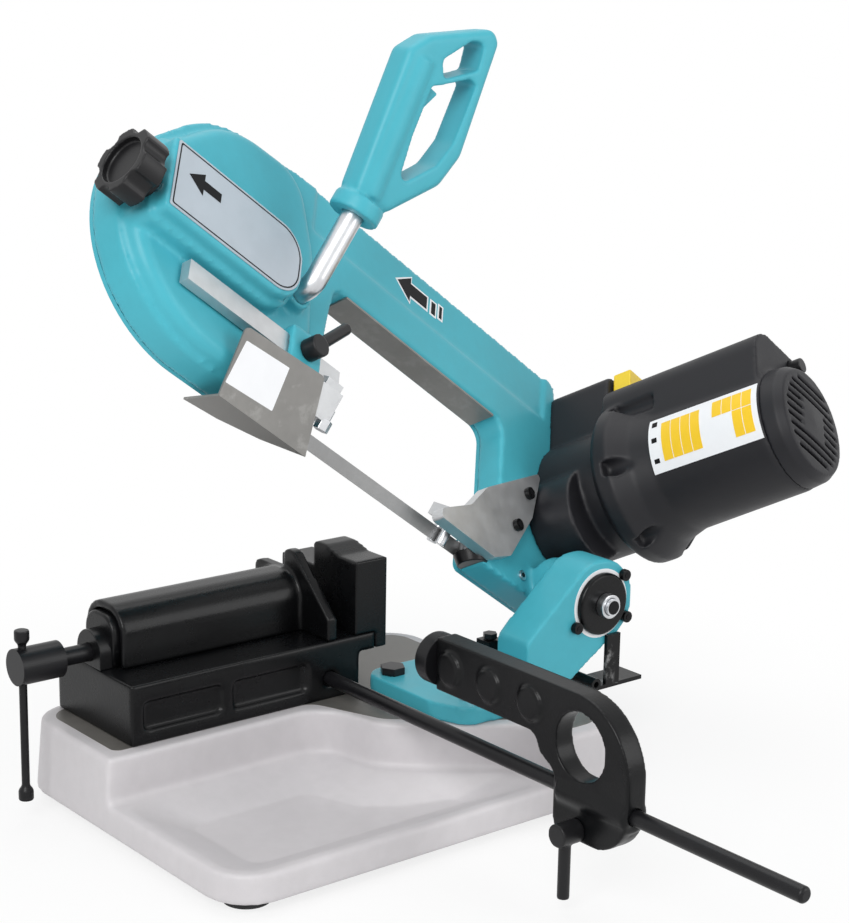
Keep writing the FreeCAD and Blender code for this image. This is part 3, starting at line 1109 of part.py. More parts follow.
def pin_room(label, middle):
    body = new_body(label, bow)
    add(body, "z", [round_hole(x, y, s.roller_pin + s.loose) for x, y in roller_lines(middle)],
        s.guide_block_low,
        s.roller_pin_top + s.gap)
    return body


def rollers(label, middle):
    """Two rollers that hold the blade upright, each with its pin."""
    made = []
    for number, (x, y) in enumerate(roller_lines(middle), start=1):
        body = new_body(f"{label}_{number}", bow)
        add(body, "z", [round_hole(x, y, s.roller_radius)], s.roller_low, s.roller_high)
        add(body, "z", [round_hole(x, y, s.roller_pin)], s.roller_high, s.roller_pin_top)
        made.append(body)
    return group(label, made)


guide_plate = new_body("guide_plate", wheels)
plate_line = w([(s.guide_span * x, s.guide_span * y, s.guide_span * r) for x, y, r in GUIDE_PLATE_SHARES])
plate_near = s.bow_near + s.guide_plate_thick
add(guide_plate, "z", [plate_line], s.bow_near, plate_near)
cut(guide_plate, "z", [round_hole(x, y, s.guide_screw_radius + s.loose) for x, y in guide_screw_points],
    s.bow_near, plate_near)
joined("fixed_guide", [guide_plate, guide_block("fixed_block", s.fixed_guide_u, s.guide_block_half)],
    [pin_room("fixed_pins", s.fixed_guide_u)])
rollers("fixed_guide_pins", s.fixed_guide_u)
guide_screws = []
for number, (x, y) in enumerate(guide_screw_points, start=1):
    screw = new_body(f"guide_screw_{number}", wheels)
    add(screw, "z", [round_hole(x, y, s.guide_screw_radius)], plate_near - s.guide_screw_length, plate_near)
    add(screw, "z", [round_hole(x, y, s.guide_screw_head)], plate_near,
        plate_near + s.guide_screw_head_height)
    guide_screws.append(screw)
group("fixed_guide_screws", guide_screws)

slide_bar = new_body("guide_bar", wheels)
add(slide_bar, "z", [rectangle(-s.slide_bar_end, -s.slide_bar_start, s.slide_bar_low, s.slide_bar_high)],
    s.slide_bar_far, s.slide_bar_near)
leg = new_body("guide_leg", bow)
add(leg, "z", [rectangle(-s.leg_end, -s.leg_start, s.leg_near, s.leg_far)], s.guide_block_low, s.leg_top)
cheek = new_body("guide_cheek", bow)
add(cheek, "y", [rectangle(-s.cheek_end, -s.arm_guide_u, s.guide_block_low, s.cheek_top)], s.cheek_near,
    s.cheek_far)
joined("guide_arm", [slide_bar, leg, cheek, guide_block("arm_block", s.arm_guide_u, s.arm_block_half)],
    [pin_room("arm_pins", s.arm_guide_u)])
rollers("arm_guide_pins", s.arm_guide_u)

lever_turn = Rotation(Vector(0, 0, 1), float(s.guide_lever_turn))
guide_lever = new_body("guide_lever", wheels * at(-s.guide_lever_u, bar_mid, zero, lever_turn))
add(guide_lever, "z", [round_hole(zero, zero, s.guide_lever_hub)], s.holder_near + s.gap,
    s.holder_near + s.guide_lever_height)
add(guide_lever, "z", [round_hole(zero, zero, s.guide_lever_screw)], s.slide_bar_near + s.gap,
    s.holder_near + s.gap)
lever_level = s.holder_near + s.guide_lever_height / 2
add(guide_lever, "x", [round_hole(zero, lever_level, s.guide_lever_thick)], zero, s.guide_lever_reach)
keep(guide_lever)

guard = new_body("guard_sheet", bow)
guard_low = s.guard_span * GUARD_LOW_SHARE
guard_line = []
for share in GUARD_SHARES:
    rounding = s.guard_span * share[2] if len(share) > 2 else zero
    guard_line.append((-s.guard_datum_u - s.guard_span * share[0], guard_low + s.guard_span * share[1],
        rounding))
guard_near = s.cheek_near - s.guard_thick
add(guard, "y", [guard_line], guard_near, s.cheek_near)
flange_place = bow * at(-s.guard_datum_u, guard_near, guard_low,
    Rotation(Vector(1, 0, 0), -float(s.guard_lean)))
flange = new_body("guard_flange", flange_place)
add(flange, "z", [[(-s.guard_span * x, s.guard_flange * y) for x, y in GUARD_FLANGE_SHARES]], zero,
    s.guard_thick)
joined("blade_guard", [guard, flange])

# Handle
tube = new_body("handle_tube", bow)
corner_v = s.tube_v * math.cos(tilt) + s.tube_corner * math.sin(tilt)
corner_y = drive_y + s.tube_v * math.sin(tilt) - s.tube_corner * math.cos(tilt)
corner_n = drive_n + corner_v
root_y = drive_y + s.tube_v * math.sin(tilt) - s.tube_root * math.cos(tilt)
root_n = drive_n + s.tube_v * math.cos(tilt) + s.tube_root * math.sin(tilt)
bend = corners_of([(root_y, root_n), (corner_y, corner_n, s.tube_bend), (corner_y, s.tube_top)])
spine = sketch(tube, [("curves", [
    Part.LineSegment(bend[2][0], bend[1][2]), Part.Arc(bend[1][2], bend[1][1], bend[1][0]),
    Part.LineSegment(bend[1][0], bend[0][0])])], "YZ_Plane", -s.tube_u)
section = sketch(tube, [round_hole(-s.tube_u, corner_y, s.tube_radius)], "XY_Plane", s.tube_top)
pipe = tube.newObject("PartDesign::AdditivePipe", "Tube")
pipe.Profile = section
pipe.Spine = (spine, [f"Edge{k}" for k in (1, 2, 3)])
keep(tube)

grip = new_body("grip_loop", bow)
grip_low = corner_y - s.grip_thick / 2
grip_high = corner_y + s.grip_thick / 2


def grip_points(shares):
    return [(-s.grip_datum_u - s.grip_span * x, s.grip_base_n + s.grip_span * z, s.grip_span * r) for x, z,
        r in shares]


add(grip, "y", [grip_points(GRIP_SHARES)], grip_low, grip_high)
soften(grip, s.grip_round,
    lambda e: any(abs(e.BoundBox.YMin - float(y)) < TOUCH and abs(e.BoundBox.YMax - float(y)) < TOUCH
                                         for y in (grip_low, grip_high)))
hand_room = new_body("hand_room", bow)
add(hand_room, "y", [grip_points(GRIP_HOLE_SHARES)], grip_low - s.gap, grip_high + s.gap)
window_room = new_body("window_room", bow)
add(window_room, "y", [grip_points(GRIP_WINDOW_SHARES)], grip_low - s.gap, grip_high + s.gap)
add(grip, "z", [round_hole(-s.ring_u, corner_y, s.grip_ring)], s.grip_ring_low, s.grip_ring_high)
grip_bar = plug("grip_bar", s.bar_round, s.bar_length,
                bow * at(-s.bar_foot_u, corner_y, s.bar_foot_n,
                    Rotation(Vector(0, 1, 0), -float(s.bar_lean))))
tube_room = new_body("tube_room", bow)
add(tube_room, "z", [round_hole(-s.tube_u, corner_y, s.tube_radius + s.fit)], s.grip_ring_low - s.gap,
    s.tube_top + s.gap)
half_trigger = s.trigger_thick / 2
trigger_room = new_body("trigger_room", bow)
add(trigger_room, "y", [rectangle(-s.trigger_back - s.trigger_travel - s.trigger_gap,
    -s.trigger_face + s.panel_depth,
                                  s.trigger_low - s.trigger_gap, s.trigger_high + s.trigger_gap)],
    corner_y - half_trigger - s.trigger_gap, corner_y + half_trigger + s.trigger_gap)
joined("handle_grip", [grip, grip_bar], [hand_room, window_room, tube_room, trigger_room])
trigger = new_body("trigger", bow)
add(trigger, "y", [[(-s.trigger_back, s.trigger_low, s.clamp_slit),
    (-s.trigger_heel, s.trigger_low, s.clamp_slit),
                    (-s.trigger_face, s.trigger_high, s.clamp_slit), (-s.trigger_back, s.trigger_high,
                        s.clamp_slit)]],
    corner_y - half_trigger, corner_y + half_trigger)
keep(trigger)

# Checks and export
doc.recompute()
faults = [f"{o.Label}: {state}" for o in doc.Objects for state in o.State if state in ("Invalid", "Error")]
for label, piece in pieces.items():
    if piece.Shape.isNull() or not piece.Shape.isValid() or piece.Shape.Volume <= 0:
        faults.append(f"{label}: bad shape")
if faults:
    raise RuntimeError("; ".join(faults))
os.makedirs("parts", exist_ok=True)
for label, piece in pieces.items():
    piece.Shape.exportStep(f"parts/{label}.step")
print(len(pieces), "nodes", {label: len(piece.Shape.Solids) for label,
    piece in pieces.items() if len(piece.Shape.Solids) > 1})
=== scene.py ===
import bpy
import json
import math
from mathutils import Matrix, Vector


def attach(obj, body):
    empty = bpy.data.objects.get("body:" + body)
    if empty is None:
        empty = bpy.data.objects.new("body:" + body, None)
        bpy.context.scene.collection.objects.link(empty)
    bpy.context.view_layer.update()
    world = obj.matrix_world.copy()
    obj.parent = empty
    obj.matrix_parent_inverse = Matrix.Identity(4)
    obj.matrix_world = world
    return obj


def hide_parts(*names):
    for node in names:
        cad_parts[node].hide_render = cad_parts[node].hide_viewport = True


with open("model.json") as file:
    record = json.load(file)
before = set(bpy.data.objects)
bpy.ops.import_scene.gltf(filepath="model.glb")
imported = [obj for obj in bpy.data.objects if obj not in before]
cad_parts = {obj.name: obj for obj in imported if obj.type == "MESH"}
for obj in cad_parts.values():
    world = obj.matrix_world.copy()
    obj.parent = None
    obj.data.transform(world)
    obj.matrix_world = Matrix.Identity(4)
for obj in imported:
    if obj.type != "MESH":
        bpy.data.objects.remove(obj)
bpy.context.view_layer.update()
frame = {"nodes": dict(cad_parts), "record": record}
nodes = frame["nodes"]
MM = 0.001

# Frames of the bow, repeated from the part's source: X runs back along the bow, Z away from the blade
BOW_ANGLE = math.radians(36.2)
WHEEL_TILT = math.radians(33)
WHEEL_RADIUS = 81.5 * MM
HINGE_X, HINGE_Z = 269, 145
CUT_PLANE = 21 * MM
BLADE_LEVEL = -22 * MM
DRIVE_SHIFT = 10 * MM
HINGE = Vector((HINGE_X, 0, HINGE_Z)) * MM
BOW = Matrix.Translation(HINGE) @ Matrix.Rotation(BOW_ANGLE, 4, "Y")
DRIVE = Vector((DRIVE_SHIFT, CUT_PLANE + WHEEL_RADIUS * math.sin(WHEEL_TILT),
                BLADE_LEVEL + WHEEL_RADIUS * math.cos(WHEEL_TILT)))
WHEELS = BOW @ Matrix.Translation(DRIVE) @ Matrix.Rotation(math.radians(90) - WHEEL_TILT, 4, "X")
MOTOR = WHEELS @ Matrix.Translation(Vector((29, 39, 0)) * MM)
GUARD_FACE = BOW @ Matrix.Rotation(math.radians(90), 4, "X")
# Flat outlines across the vice: their X is the machine's Y, their Y its Z
ACROSS = Matrix(((0, 0, 1, 0), (1, 0, 0, 0), (0, 1, 0, 0), (0, 0, 0, 1)))
# The machine's own frame, where a piece needs no other
MACHINE = Matrix.Identity(4)

# How close points are merged, and which edges count as flat, sharp or smooth
WELD = 0.01 * MM
OUTLINE_WELD = 0.005 * MM
FLAT_TO = math.radians(0.3)
SHARP_FROM = math.radians(35)
SMOOTH_TO = math.radians(32)


# Selecting and shaping, as by hand

def pick(piece):
    """Select this piece alone and make it the active one."""
    bpy.ops.object.select_all(action="DESELECT")
    piece.select_set(True)
    bpy.context.view_layer.objects.active = piece


def named(name):
    """Give the piece that was just added its name."""
    piece = bpy.context.active_object
    piece.name = name
    piece.data.name = name
    return piece


def applied(piece):
    """Bake every modifier into the mesh, in order."""
    pick(piece)
    for modifier in list(piece.modifiers):
        bpy.ops.object.modifier_apply(modifier=modifier.name)
    return piece


def settled(piece, place=MACHINE):
    """Put a piece in a frame and keep its place in its mesh."""
    piece.matrix_world = place @ piece.matrix_world
    pick(piece)
    bpy.ops.object.transform_apply(location=True, rotation=True, scale=True)
    return piece


def copy_of(node, name):
    """A separate mesh with a CAD node's shape, its loose triangles merged."""
    piece = bpy.data.objects.new(name, nodes[node].data.copy())
    bpy.context.scene.collection.objects.link(piece)
    piece.data.name = name
    piece.data.materials.clear()
    pick(piece)
    bpy.ops.mesh.customdata_custom_splitnormals_clear()
    bpy.ops.object.mode_set(mode="EDIT")
    bpy.ops.mesh.select_all(action="SELECT")
    bpy.ops.mesh.remove_doubles(threshold=WELD)
    bpy.ops.object.mode_set(mode="OBJECT")
    return piece


def joined(piece, others):
    """Make further solids part of a piece."""
    pick(piece)
    for other in others:
        other.select_set(True)
    bpy.ops.object.join()
    return piece


def cut_away(piece, cutters):
    """Take solids out of a piece."""
    for cutter in cutters:
        bite = piece.modifiers.new("bite", "BOOLEAN")
        bite.operation = "DIFFERENCE"
        bite.solver = "EXACT"
        bite.use_self = True
        bite.object = cutter
    applied(piece)
    for cutter in cutters:
        bpy.data.objects.remove(cutter)
    return piece


def cast_skin(piece, grain, passes):
    """One closed skin over a piece with its edges rounded, as a casting or a moulding has."""
    skin = piece.modifiers.new("skin", "REMESH")
    skin.mode = "VOXEL"
    skin.voxel_size = grain
    skin.use_smooth_shade = True
    soft = piece.modifiers.new("soft", "SMOOTH")
    soft.factor = 0.5
    soft.iterations = passes
    return applied(piece)


def eased(piece, width):
    """Break the sharp edges of a machined piece."""
    pick(piece)
    bpy.ops.object.mode_set(mode="EDIT")
    bpy.ops.mesh.select_all(action="SELECT")
    bpy.ops.mesh.dissolve_limited(angle_limit=FLAT_TO)
    bpy.ops.object.mode_set(mode="OBJECT")
    edge = piece.modifiers.new("edge", "BEVEL")
    edge.width = width
    edge.segments = 2
    edge.limit_method = "ANGLE"
    edge.angle_limit = SHARP_FROM
    applied(piece)
    bpy.ops.object.shade_smooth_by_angle(angle=SMOOTH_TO)
    even = piece.modifiers.new("even", "WEIGHTED_NORMAL")
    even.keep_sharp = True
    return applied(piece)


def rod(name, start, end, radius, place=MACHINE, end_radius=None, sides=48):
    """A round between two points of a frame, tapered where it has an end radius."""
    bpy.ops.object.select_all(action="DESELECT")
    start, end = Vector(start) * MM, Vector(end) * MM
    run = end - start
    far = radius if end_radius is None else end_radius
    bpy.ops.mesh.primitive_cone_add(vertices=sides, radius1=radius * MM, radius2=far * MM, depth=run.length)
    piece = named(name)
    turn = run.to_track_quat("Z", "Y").to_matrix().to_4x4()
    piece.matrix_world = Matrix.Translation((start + end) / 2) @ turn
    return settled(piece, place)


def flat_shape(name, outlines, low, high, place=MACHINE, edge=0.0):
    """A sheet cut to flat outlines, with its thickness between two levels."""
    curve = bpy.data.curves.new(name, "CURVE")
    curve.dimensions = "2D"
    curve.fill_mode = "BOTH"
    curve.extrude = (high - low) / 2 * MM - edge * MM
    curve.bevel_depth = edge * MM
    curve.offset = -edge * MM
    curve.bevel_resolution = 2
    for outline in outlines:
        spline = curve.splines.new("POLY")
        spline.points.add(len(outline) - 1)
        for point, (x, y) in zip(spline.points, outline):
            point.co = (x * MM, y * MM, 0, 1)
        spline.use_cyclic_u = True
    piece = bpy.data.objects.new(name, curve)
    bpy.context.scene.collection.objects.link(piece)
    pick(piece)
    bpy.ops.object.convert(target="MESH")
    piece = named(name)
    bpy.ops.object.mode_set(mode="EDIT")
    bpy.ops.mesh.select_all(action="SELECT")
    bpy.ops.mesh.remove_doubles(threshold=OUTLINE_WELD)
    bpy.ops.mesh.normals_make_consistent(inside=False)
    bpy.ops.object.mode_set(mode="OBJECT")
    piece.matrix_world = Matrix.Translation((0, 0, (low + high) / 2 * MM))
    return settled(piece, place)


def rounded(points, steps=8):
    """Corner points with a radius each, turned into a closed outline with round corners."""
    outline = []
    for i, (x, y, radius) in enumerate(points):
        spot = Vector((x, y))
        back = (Vector(points[i - 1][:2]) - spot).normalized()
        ahead = (Vector(points[(i + 1) % len(points)][:2]) - spot).normalized()
        half = back.angle(ahead) / 2
        if radius <= 0:
            outline.append((x, y))
            continue
        centre = spot + (back + ahead).normalized() * (radius / math.sin(half))
        first = spot + back * (radius / math.tan(half)) - centre
        last = spot + ahead * (radius / math.tan(half)) - centre
        for step in range(steps + 1):
            outline.append(tuple(centre + first.slerp(last, step / steps) * radius))
    return outline


# Nodes that the materials are made of

def wired(tree, socket, value):
    """Set a socket to a number, or link it to another node's output."""
    if isinstance(value, (int, float)):
        socket.default_value = value
    else:
        tree.links.new(value, socket)


def noise(tree, scale, detail=2.0, rough=0.5):
    """Noise on the piece's own coordinates, in features per metre."""
    coords = tree.nodes.new("ShaderNodeTexCoord")
    texture = tree.nodes.new("ShaderNodeTexNoise")
    texture.inputs["Detail"].default_value = detail
    texture.inputs["Roughness"].default_value = rough
    tree.links.new(coords.outputs["Object"], texture.inputs["Vector"])
    wired(tree, texture.inputs["Scale"], scale)
    return texture.outputs["Fac"]


def ranged(tree, value, low, high, to_low=0.0, to_high=1.0):
    """A value spread from one range to another, and held inside it."""
    spread = tree.nodes.new("ShaderNodeMapRange")
    spread.interpolation_type = "SMOOTHSTEP"
    tree.links.new(value, spread.inputs["Value"])
    for label, number in (("From Min", low), ("From Max", high), ("To Min", to_low), ("To Max", to_high)):
        wired(tree, spread.inputs[label], number)
    return spread.outputs["Result"]


def maths(tree, kind, one, two):
    """A sum, product or larger one of two values."""
    node = tree.nodes.new("ShaderNodeMath")
    node.operation = kind
    for socket, value in zip(node.inputs, (one, two)):
        wired(tree, socket, value)
    return node.outputs[0]


def mixed(tree, factor, one, two):
    """One colour passing into another."""
    node = tree.nodes.new("ShaderNodeMix")
    node.data_type = "RGBA"
    tree.links.new(factor, node.inputs[0])
    for socket, value in ((node.inputs[6], one), (node.inputs[7], two)):
        if isinstance(value, tuple):
            socket.default_value = (*value, 1.0)
        else:
            tree.links.new(value, socket)
    return node.outputs[2]


# Shared effects of the finishes

def new_group(name, inputs, output):
    """An empty node group with its named inputs and its one output."""
    group = bpy.data.node_groups.new(name, "ShaderNodeTree")
    for label, value in inputs:
        socket = group.interface.new_socket(label, in_out="INPUT", socket_type="NodeSocketFloat")
        socket.default_value = value
    group.interface.new_socket(output, in_out="OUTPUT", socket_type="NodeSocketFloat")
    start = group.nodes.new("NodeGroupInput")
    end = group.nodes.new("NodeGroupOutput")
    return group, start, end


def surface_grain_group():
    """Fine skin of paint or moulded plastic: a broad wave under a fine grain."""
    group, start, end = new_group("surface_grain", (("Scale", 600.0), ("Broad", 0.35)), "Height")
    fine = noise(group, start.outputs["Scale"], 3.0)
    broad = noise(group, maths(group, "MULTIPLY", start.outputs["Scale"], 0.16), 1.0)
    wave = maths(group, "MULTIPLY", broad, start.outputs["Broad"])
    group.links.new(maths(group, "ADD", fine, wave), end.inputs["Height"])
    return group


def mottle_group():
    """Slow changes of tone over a surface, with small clouds in them."""
    group, start, end = new_group("mottle", (("Scale", 9.0),), "Tone")
    slow = noise(group, start.outputs["Scale"], 4.0, 0.6)
    small = noise(group, maths(group, "MULTIPLY", start.outputs["Scale"], 9.0), 3.0, 0.6)
    tone = maths(group, "ADD", maths(group, "MULTIPLY", slow, 0.7), maths(group, "MULTIPLY", small, 0.3))
    group.links.new(tone, end.inputs["Tone"])
    return group


def edge_wear_group():
    """Rubbed edges: where the surface bends outwards, broken up by noise."""
    group, start, end = new_group("edge_wear", (("Reach", 0.56), ("Patches", 60.0)), "Mask")
    shape = group.nodes.new("ShaderNodeNewGeometry")
    edge = ranged(group, shape.outputs["Pointiness"], start.outputs["Reach"],
                  maths(group, "ADD", start.outputs["Reach"], 0.06))
    patches = ranged(group, noise(group, start.outputs["Patches"], 4.0, 0.65), 0.5, 0.66)
    group.links.new(maths(group, "MULTIPLY", edge, patches), end.inputs["Mask"])
    return group


def dust_group():
    """Dust that settles on what faces up, in thin clouds."""
    group, start, end = new_group("dust", (("Cover", 0.3),), "Mask")
    shape = group.nodes.new("ShaderNodeNewGeometry")
    split = group.nodes.new("ShaderNodeSeparateXYZ")
    group.links.new(shape.outputs["Normal"], split.inputs["Vector"])
    up = ranged(group, split.outputs["Z"], 0.35, 1.0)
    clouds = ranged(group, noise(group, 14.0, 6.0, 0.62), 0.42, 0.75)
    lying = maths(group, "MULTIPLY", up, clouds)
    group.links.new(maths(group, "MULTIPLY", lying, start.outputs["Cover"]), end.inputs["Mask"])
    return group


GRAIN = surface_grain_group()
MOTTLE = mottle_group()
WEAR = edge_wear_group()
DUST = dust_group()


def used(tree, group, **values):
    """Place a shared effect in a material with this material's own values."""
    node = tree.nodes.new("ShaderNodeGroup")
    node.node_tree = group
    for label, value in values.items():
        node.inputs[label].default_value = value
    return node.outputs[0]


def shaded(colour, share):
    """A colour made darker or lighter by a share."""
    return tuple(min(1.0, part * share) for part in colour)


DUST_COLOUR = (0.55, 0.53, 0.5)
TONE_SCALE = 9.0
TONE_LOW, TONE_HIGH = 0.3, 0.7


def finish(name, colour, rough, metal=0.0, grain=900, depth=0.05, spread=0.1, worn=None, wear=0.56,
           dust=0.0, coat=0.0, specular=0.5):
    """A painted, moulded or bare finish with its own grain, tone, wear and dust."""
    made = bpy.data.materials.new(name)
    made.use_nodes = True
    tree = made.node_tree
    shader = tree.nodes["Principled BSDF"]
    shader.inputs["Metallic"].default_value = metal
    shader.inputs["Specular IOR Level"].default_value = specular
    shader.inputs["Coat Weight"].default_value = coat
    shader.inputs["Coat Roughness"].default_value = 0.12
    tone = used(tree, MOTTLE, Scale=TONE_SCALE)
    skin = mixed(tree, ranged(tree, tone, TONE_LOW, TONE_HIGH),
                 shaded(colour, 1 - spread), shaded(colour, 1 + spread))
    dull = ranged(tree, tone, TONE_LOW, TONE_HIGH, rough * 0.88, min(1.0, rough * 1.14))
    if worn is not None:
        skin = mixed(tree, used(tree, WEAR, Reach=wear), skin, worn)
    if dust > 0:
        settle = used(tree, DUST, Cover=dust)
        skin = mixed(tree, settle, skin, DUST_COLOUR)
        dull = maths(tree, "ADD", dull, maths(tree, "MULTIPLY", settle, 0.3))
    tree.links.new(skin, shader.inputs["Base Color"])
    tree.links.new(dull, shader.inputs["Roughness"])
    bump = tree.nodes.new("ShaderNodeBump")
    bump.inputs["Strength"].default_value = 0.5
    bump.inputs["Distance"].default_value = depth * MM
    tree.links.new(used(tree, GRAIN, Scale=grain), bump.inputs["Height"])
    tree.links.new(bump.outputs["Normal"], shader.inputs["Normal"])
    return made


# Colour, roughness and what else sets each finish apart
TURQUOISE = (0.062, 0.39, 0.475)
TURQUOISE_RUBBED = (0.14, 0.5, 0.58)
BARE_RUBBED = (0.2, 0.2, 0.2)
FINISH_ROWS = {
    "turquoise_paint": (TURQUOISE, 0.38, dict(grain=420, depth=0.12, spread=0.05, worn=TURQUOISE_RUBBED,
                                              coat=0.04, specular=0.26)),
    "turquoise_plastic": (TURQUOISE, 0.4, dict(spread=0.04, specular=0.3)),
    "base_paint": ((0.58, 0.56, 0.575), 0.42, dict(grain=700, depth=0.12, spread=0.05, dust=0.06,
                                                   specular=0.35)),
    "black_casting": ((0.0035, 0.0037, 0.0042), 0.28, dict(grain=420, depth=0.2, spread=0.3,
                                                           worn=BARE_RUBBED, wear=0.572, specular=0.2)),
    "black_steel": ((0.006, 0.006, 0.007), 0.32, dict(grain=800, depth=0.06, spread=0.25,
                                                      worn=BARE_RUBBED, wear=0.572, specular=0.24)),
    "charcoal_plastic": ((0.012, 0.012, 0.0145), 0.46, dict(grain=1500, depth=0.12, spread=0.08,
                                                            worn=(0.06, 0.06, 0.066), specular=0.26)),
    "black_plastic": ((0.008, 0.008, 0.009), 0.38, dict(grain=1300, depth=0.08, spread=0.15,
                                                        worn=(0.04, 0.04, 0.042), specular=0.28)),
    "steel": ((0.62, 0.63, 0.65), 0.3, dict(metal=1.0, depth=0.04)),
    "cast_silver": ((0.56, 0.57, 0.58), 0.42, dict(metal=0.85, grain=800, depth=0.12)),
    "grey_sheet": ((0.22, 0.215, 0.205), 0.42, dict(metal=0.4, depth=0.06, worn=(0.5, 0.5, 0.48))),
    "rubber": ((0.016, 0.016, 0.017), 0.75, dict(grain=1200, depth=0.15, spread=0.2, dust=0.2)),
    "bronze": ((0.6, 0.38, 0.16), 0.4, dict(metal=1.0, grain=800, spread=0.08)),
    "yellow_plastic": ((0.82, 0.58, 0.02), 0.35, dict(grain=1200, spread=0.06, coat=0.2)),
    "dark_deck": ((0.15, 0.143, 0.132), 0.45, dict(metal=0.3, grain=700, depth=0.1, spread=0.2)),
    # Near-black for printed marks, and also the painted shade of screw sockets, drawn as dark hexagons
    "ink_and_painted_shade": ((0.004, 0.004, 0.005), 0.5, dict(depth=0.01, specular=0.15)),
    "blade_steel": ((0.3, 0.3, 0.3), 0.42, dict(metal=0.8, depth=0.04)),
    "plate_foil": ((0.43, 0.48, 0.53), 0.5, dict(metal=0.4, depth=0.03, spread=0.05)),
    "white_print": ((0.82, 0.83, 0.85), 0.4, dict(depth=0.01, spread=0.02)),
    "yellow_print": ((0.86, 0.55, 0.015), 0.4, dict(depth=0.01, spread=0.04)),
    "machined_iron": ((0.3, 0.3, 0.31), 0.45, dict(metal=0.9, grain=700, depth=0.1, spread=0.15)),
}
FINISHES = {name: finish(name, colour, rough, **more) for name, (colour, rough, more) in FINISH_ROWS.items()}
SLOT_OF = {row["node"]: row["material_slot"] for row in frame["record"]["subparts"]}
BODIES = frame["record"]["behaviour"]["bodies"]
BODY_OF = {node: body for body, members in BODIES.items() for node in members}


def dressed(piece, node, finish_name=None, replaced=True):
    """Give a piece its finish and let it move with the body of a node, in that node's place or on it."""
    piece.data.materials.clear()
    piece.data.materials.append(FINISHES[finish_name or SLOT_OF[node]])
    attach(piece, BODY_OF[node])
    if replaced:
        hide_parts(node)
    return piece


def added(piece, node, finish_name=None):
    """Dress a detail that sits on a node."""
    return dressed(piece, node, finish_name, False)


# Pieces whose look differs from the rest of their slot
LOOK_OF = {"saw_blade": "blade_steel", "tension_plate": "plate_foil", "wheel_cover": "turquoise_plastic"}

for node, shown in nodes.items():
    shown.data.materials.clear()
    shown.data.materials.append(FINISHES[LOOK_OF.get(node, SLOT_OF[node])])

# Castings and mouldings: the solid's own shape under one soft skin, with grain and passes for each
CAST_NODES = {
    "base_casting": (2.6, 9),
    "turntable": (2.0, 6),
    "bow_frame": (2.55, 6),
    "gearbox_housing": (2.0, 5),
    "motor_end_cap": (1.3, 3),
    "handle_grip": (1.6, 10),
    "stop_arm": (1.6, 5),
    "moving_jaw": (1.8, 3),
    "fixed_jaw": (1.8, 3),
    "vice_base": (2.2, 3),
    "stop_lever": (0.9, 6),
    "guide_lever": (0.9, 6),
    "tension_knob": (0.9, 7),
}
for node, (grain, passes) in CAST_NODES.items():
    dressed(cast_skin(copy_of(node, f"{node}_skin"), grain * MM, passes), node)

# Machined, turned and sheet pieces: their sharp edges broken, with a width for each
EASED_NODES = {
    "rubber_feet": 1.5, "jaw_screws": 0.6, "spindle_nut": 1.2, "pivot_bolt": 0.8, "mitre_scale": 0.3,
    "vice_spindle": 1.5, "tommy_bar": 1.5, "stop_rod": 0.8, "stop_pad": 1.2, "lock_bolt": 0.8,
    "down_stop_block": 0.8, "down_stop_bolt": 0.7, "hinge_cap": 0.8, "hinge_nut": 1.2, "hinge_screws": 1.0,
    "hinge_bracket": 0.8, "wheel_cover": 1.2, "cover_screws": 0.8, "beam_strip": 0.5, "fixed_guide": 1.0,
    "fixed_guide_screws": 0.9, "fixed_guide_pins": 0.6, "handle_tube": 0.8, "tension_plate": 0.3,
    "guide_arm": 0.8, "blade_guard": 0.5, "arm_guide_pins": 0.6, "trigger": 1.5, "main_switch": 1.5,
    "speed_dial": 1.2, "cable_gland": 1.0,
}
for node, width in EASED_NODES.items():
    dressed(eased(copy_of(node, f"{node}_eased"), width * MM), node, LOOK_OF.get(node))

# Motor cover: screw wells round its bell
WELL_COUNT, WELL_CIRCLE, WELL_TURN = 6, 75, 20
WELL_FLOOR, WELL_TOP, WELL_RADIUS, WELL_MOUTH = 106, 150, 8, 10
cover = copy_of("motor_cover", "cover_skin")
wells = []
for number in range(WELL_COUNT):
    turn = math.radians(360 / WELL_COUNT * number + WELL_TURN)
    spot = (WELL_CIRCLE * math.cos(turn), WELL_CIRCLE * math.sin(turn))
    wells.append(rod("well", (*spot, WELL_FLOOR), (*spot, WELL_TOP), WELL_RADIUS, MOTOR, WELL_MOUTH))
cut_away(cover, wells)
dressed(cast_skin(cover, 1.8 * MM, 6), "motor_cover")


# Signs: plain arrows, a bare plate on the guard and an empty chart on the motor

def arrow(name, tip, tail, head, half_head, half_shaft, middle, levels, grow=0.0):
    """An arrow that points up the bow, with an even border where it grows."""
    neck = -tip + head + grow * 0.6
    shaft = half_shaft + grow
    barb = half_head + grow * 1.2
    outline = [(-tip - grow * 1.6, middle), (neck, middle + barb), (neck, middle + shaft),
               (-tail + grow, middle + shaft), (-tail + grow, middle - shaft), (neck, middle - shaft),
               (neck, middle - barb)]
    return flat_shape(name, [outline], *levels, WHEELS)


def bar(name, start, end, middle, half, levels, grow=0.0):
    """A short bar behind an arrow, with an even border where it grows."""
    outline = [(-start - grow, middle - half - grow), (-end + grow, middle - half - grow),
               (-end + grow, middle + half + grow), (-start - grow, middle + half + grow)]
    return flat_shape(name, [outline], *levels, WHEELS)


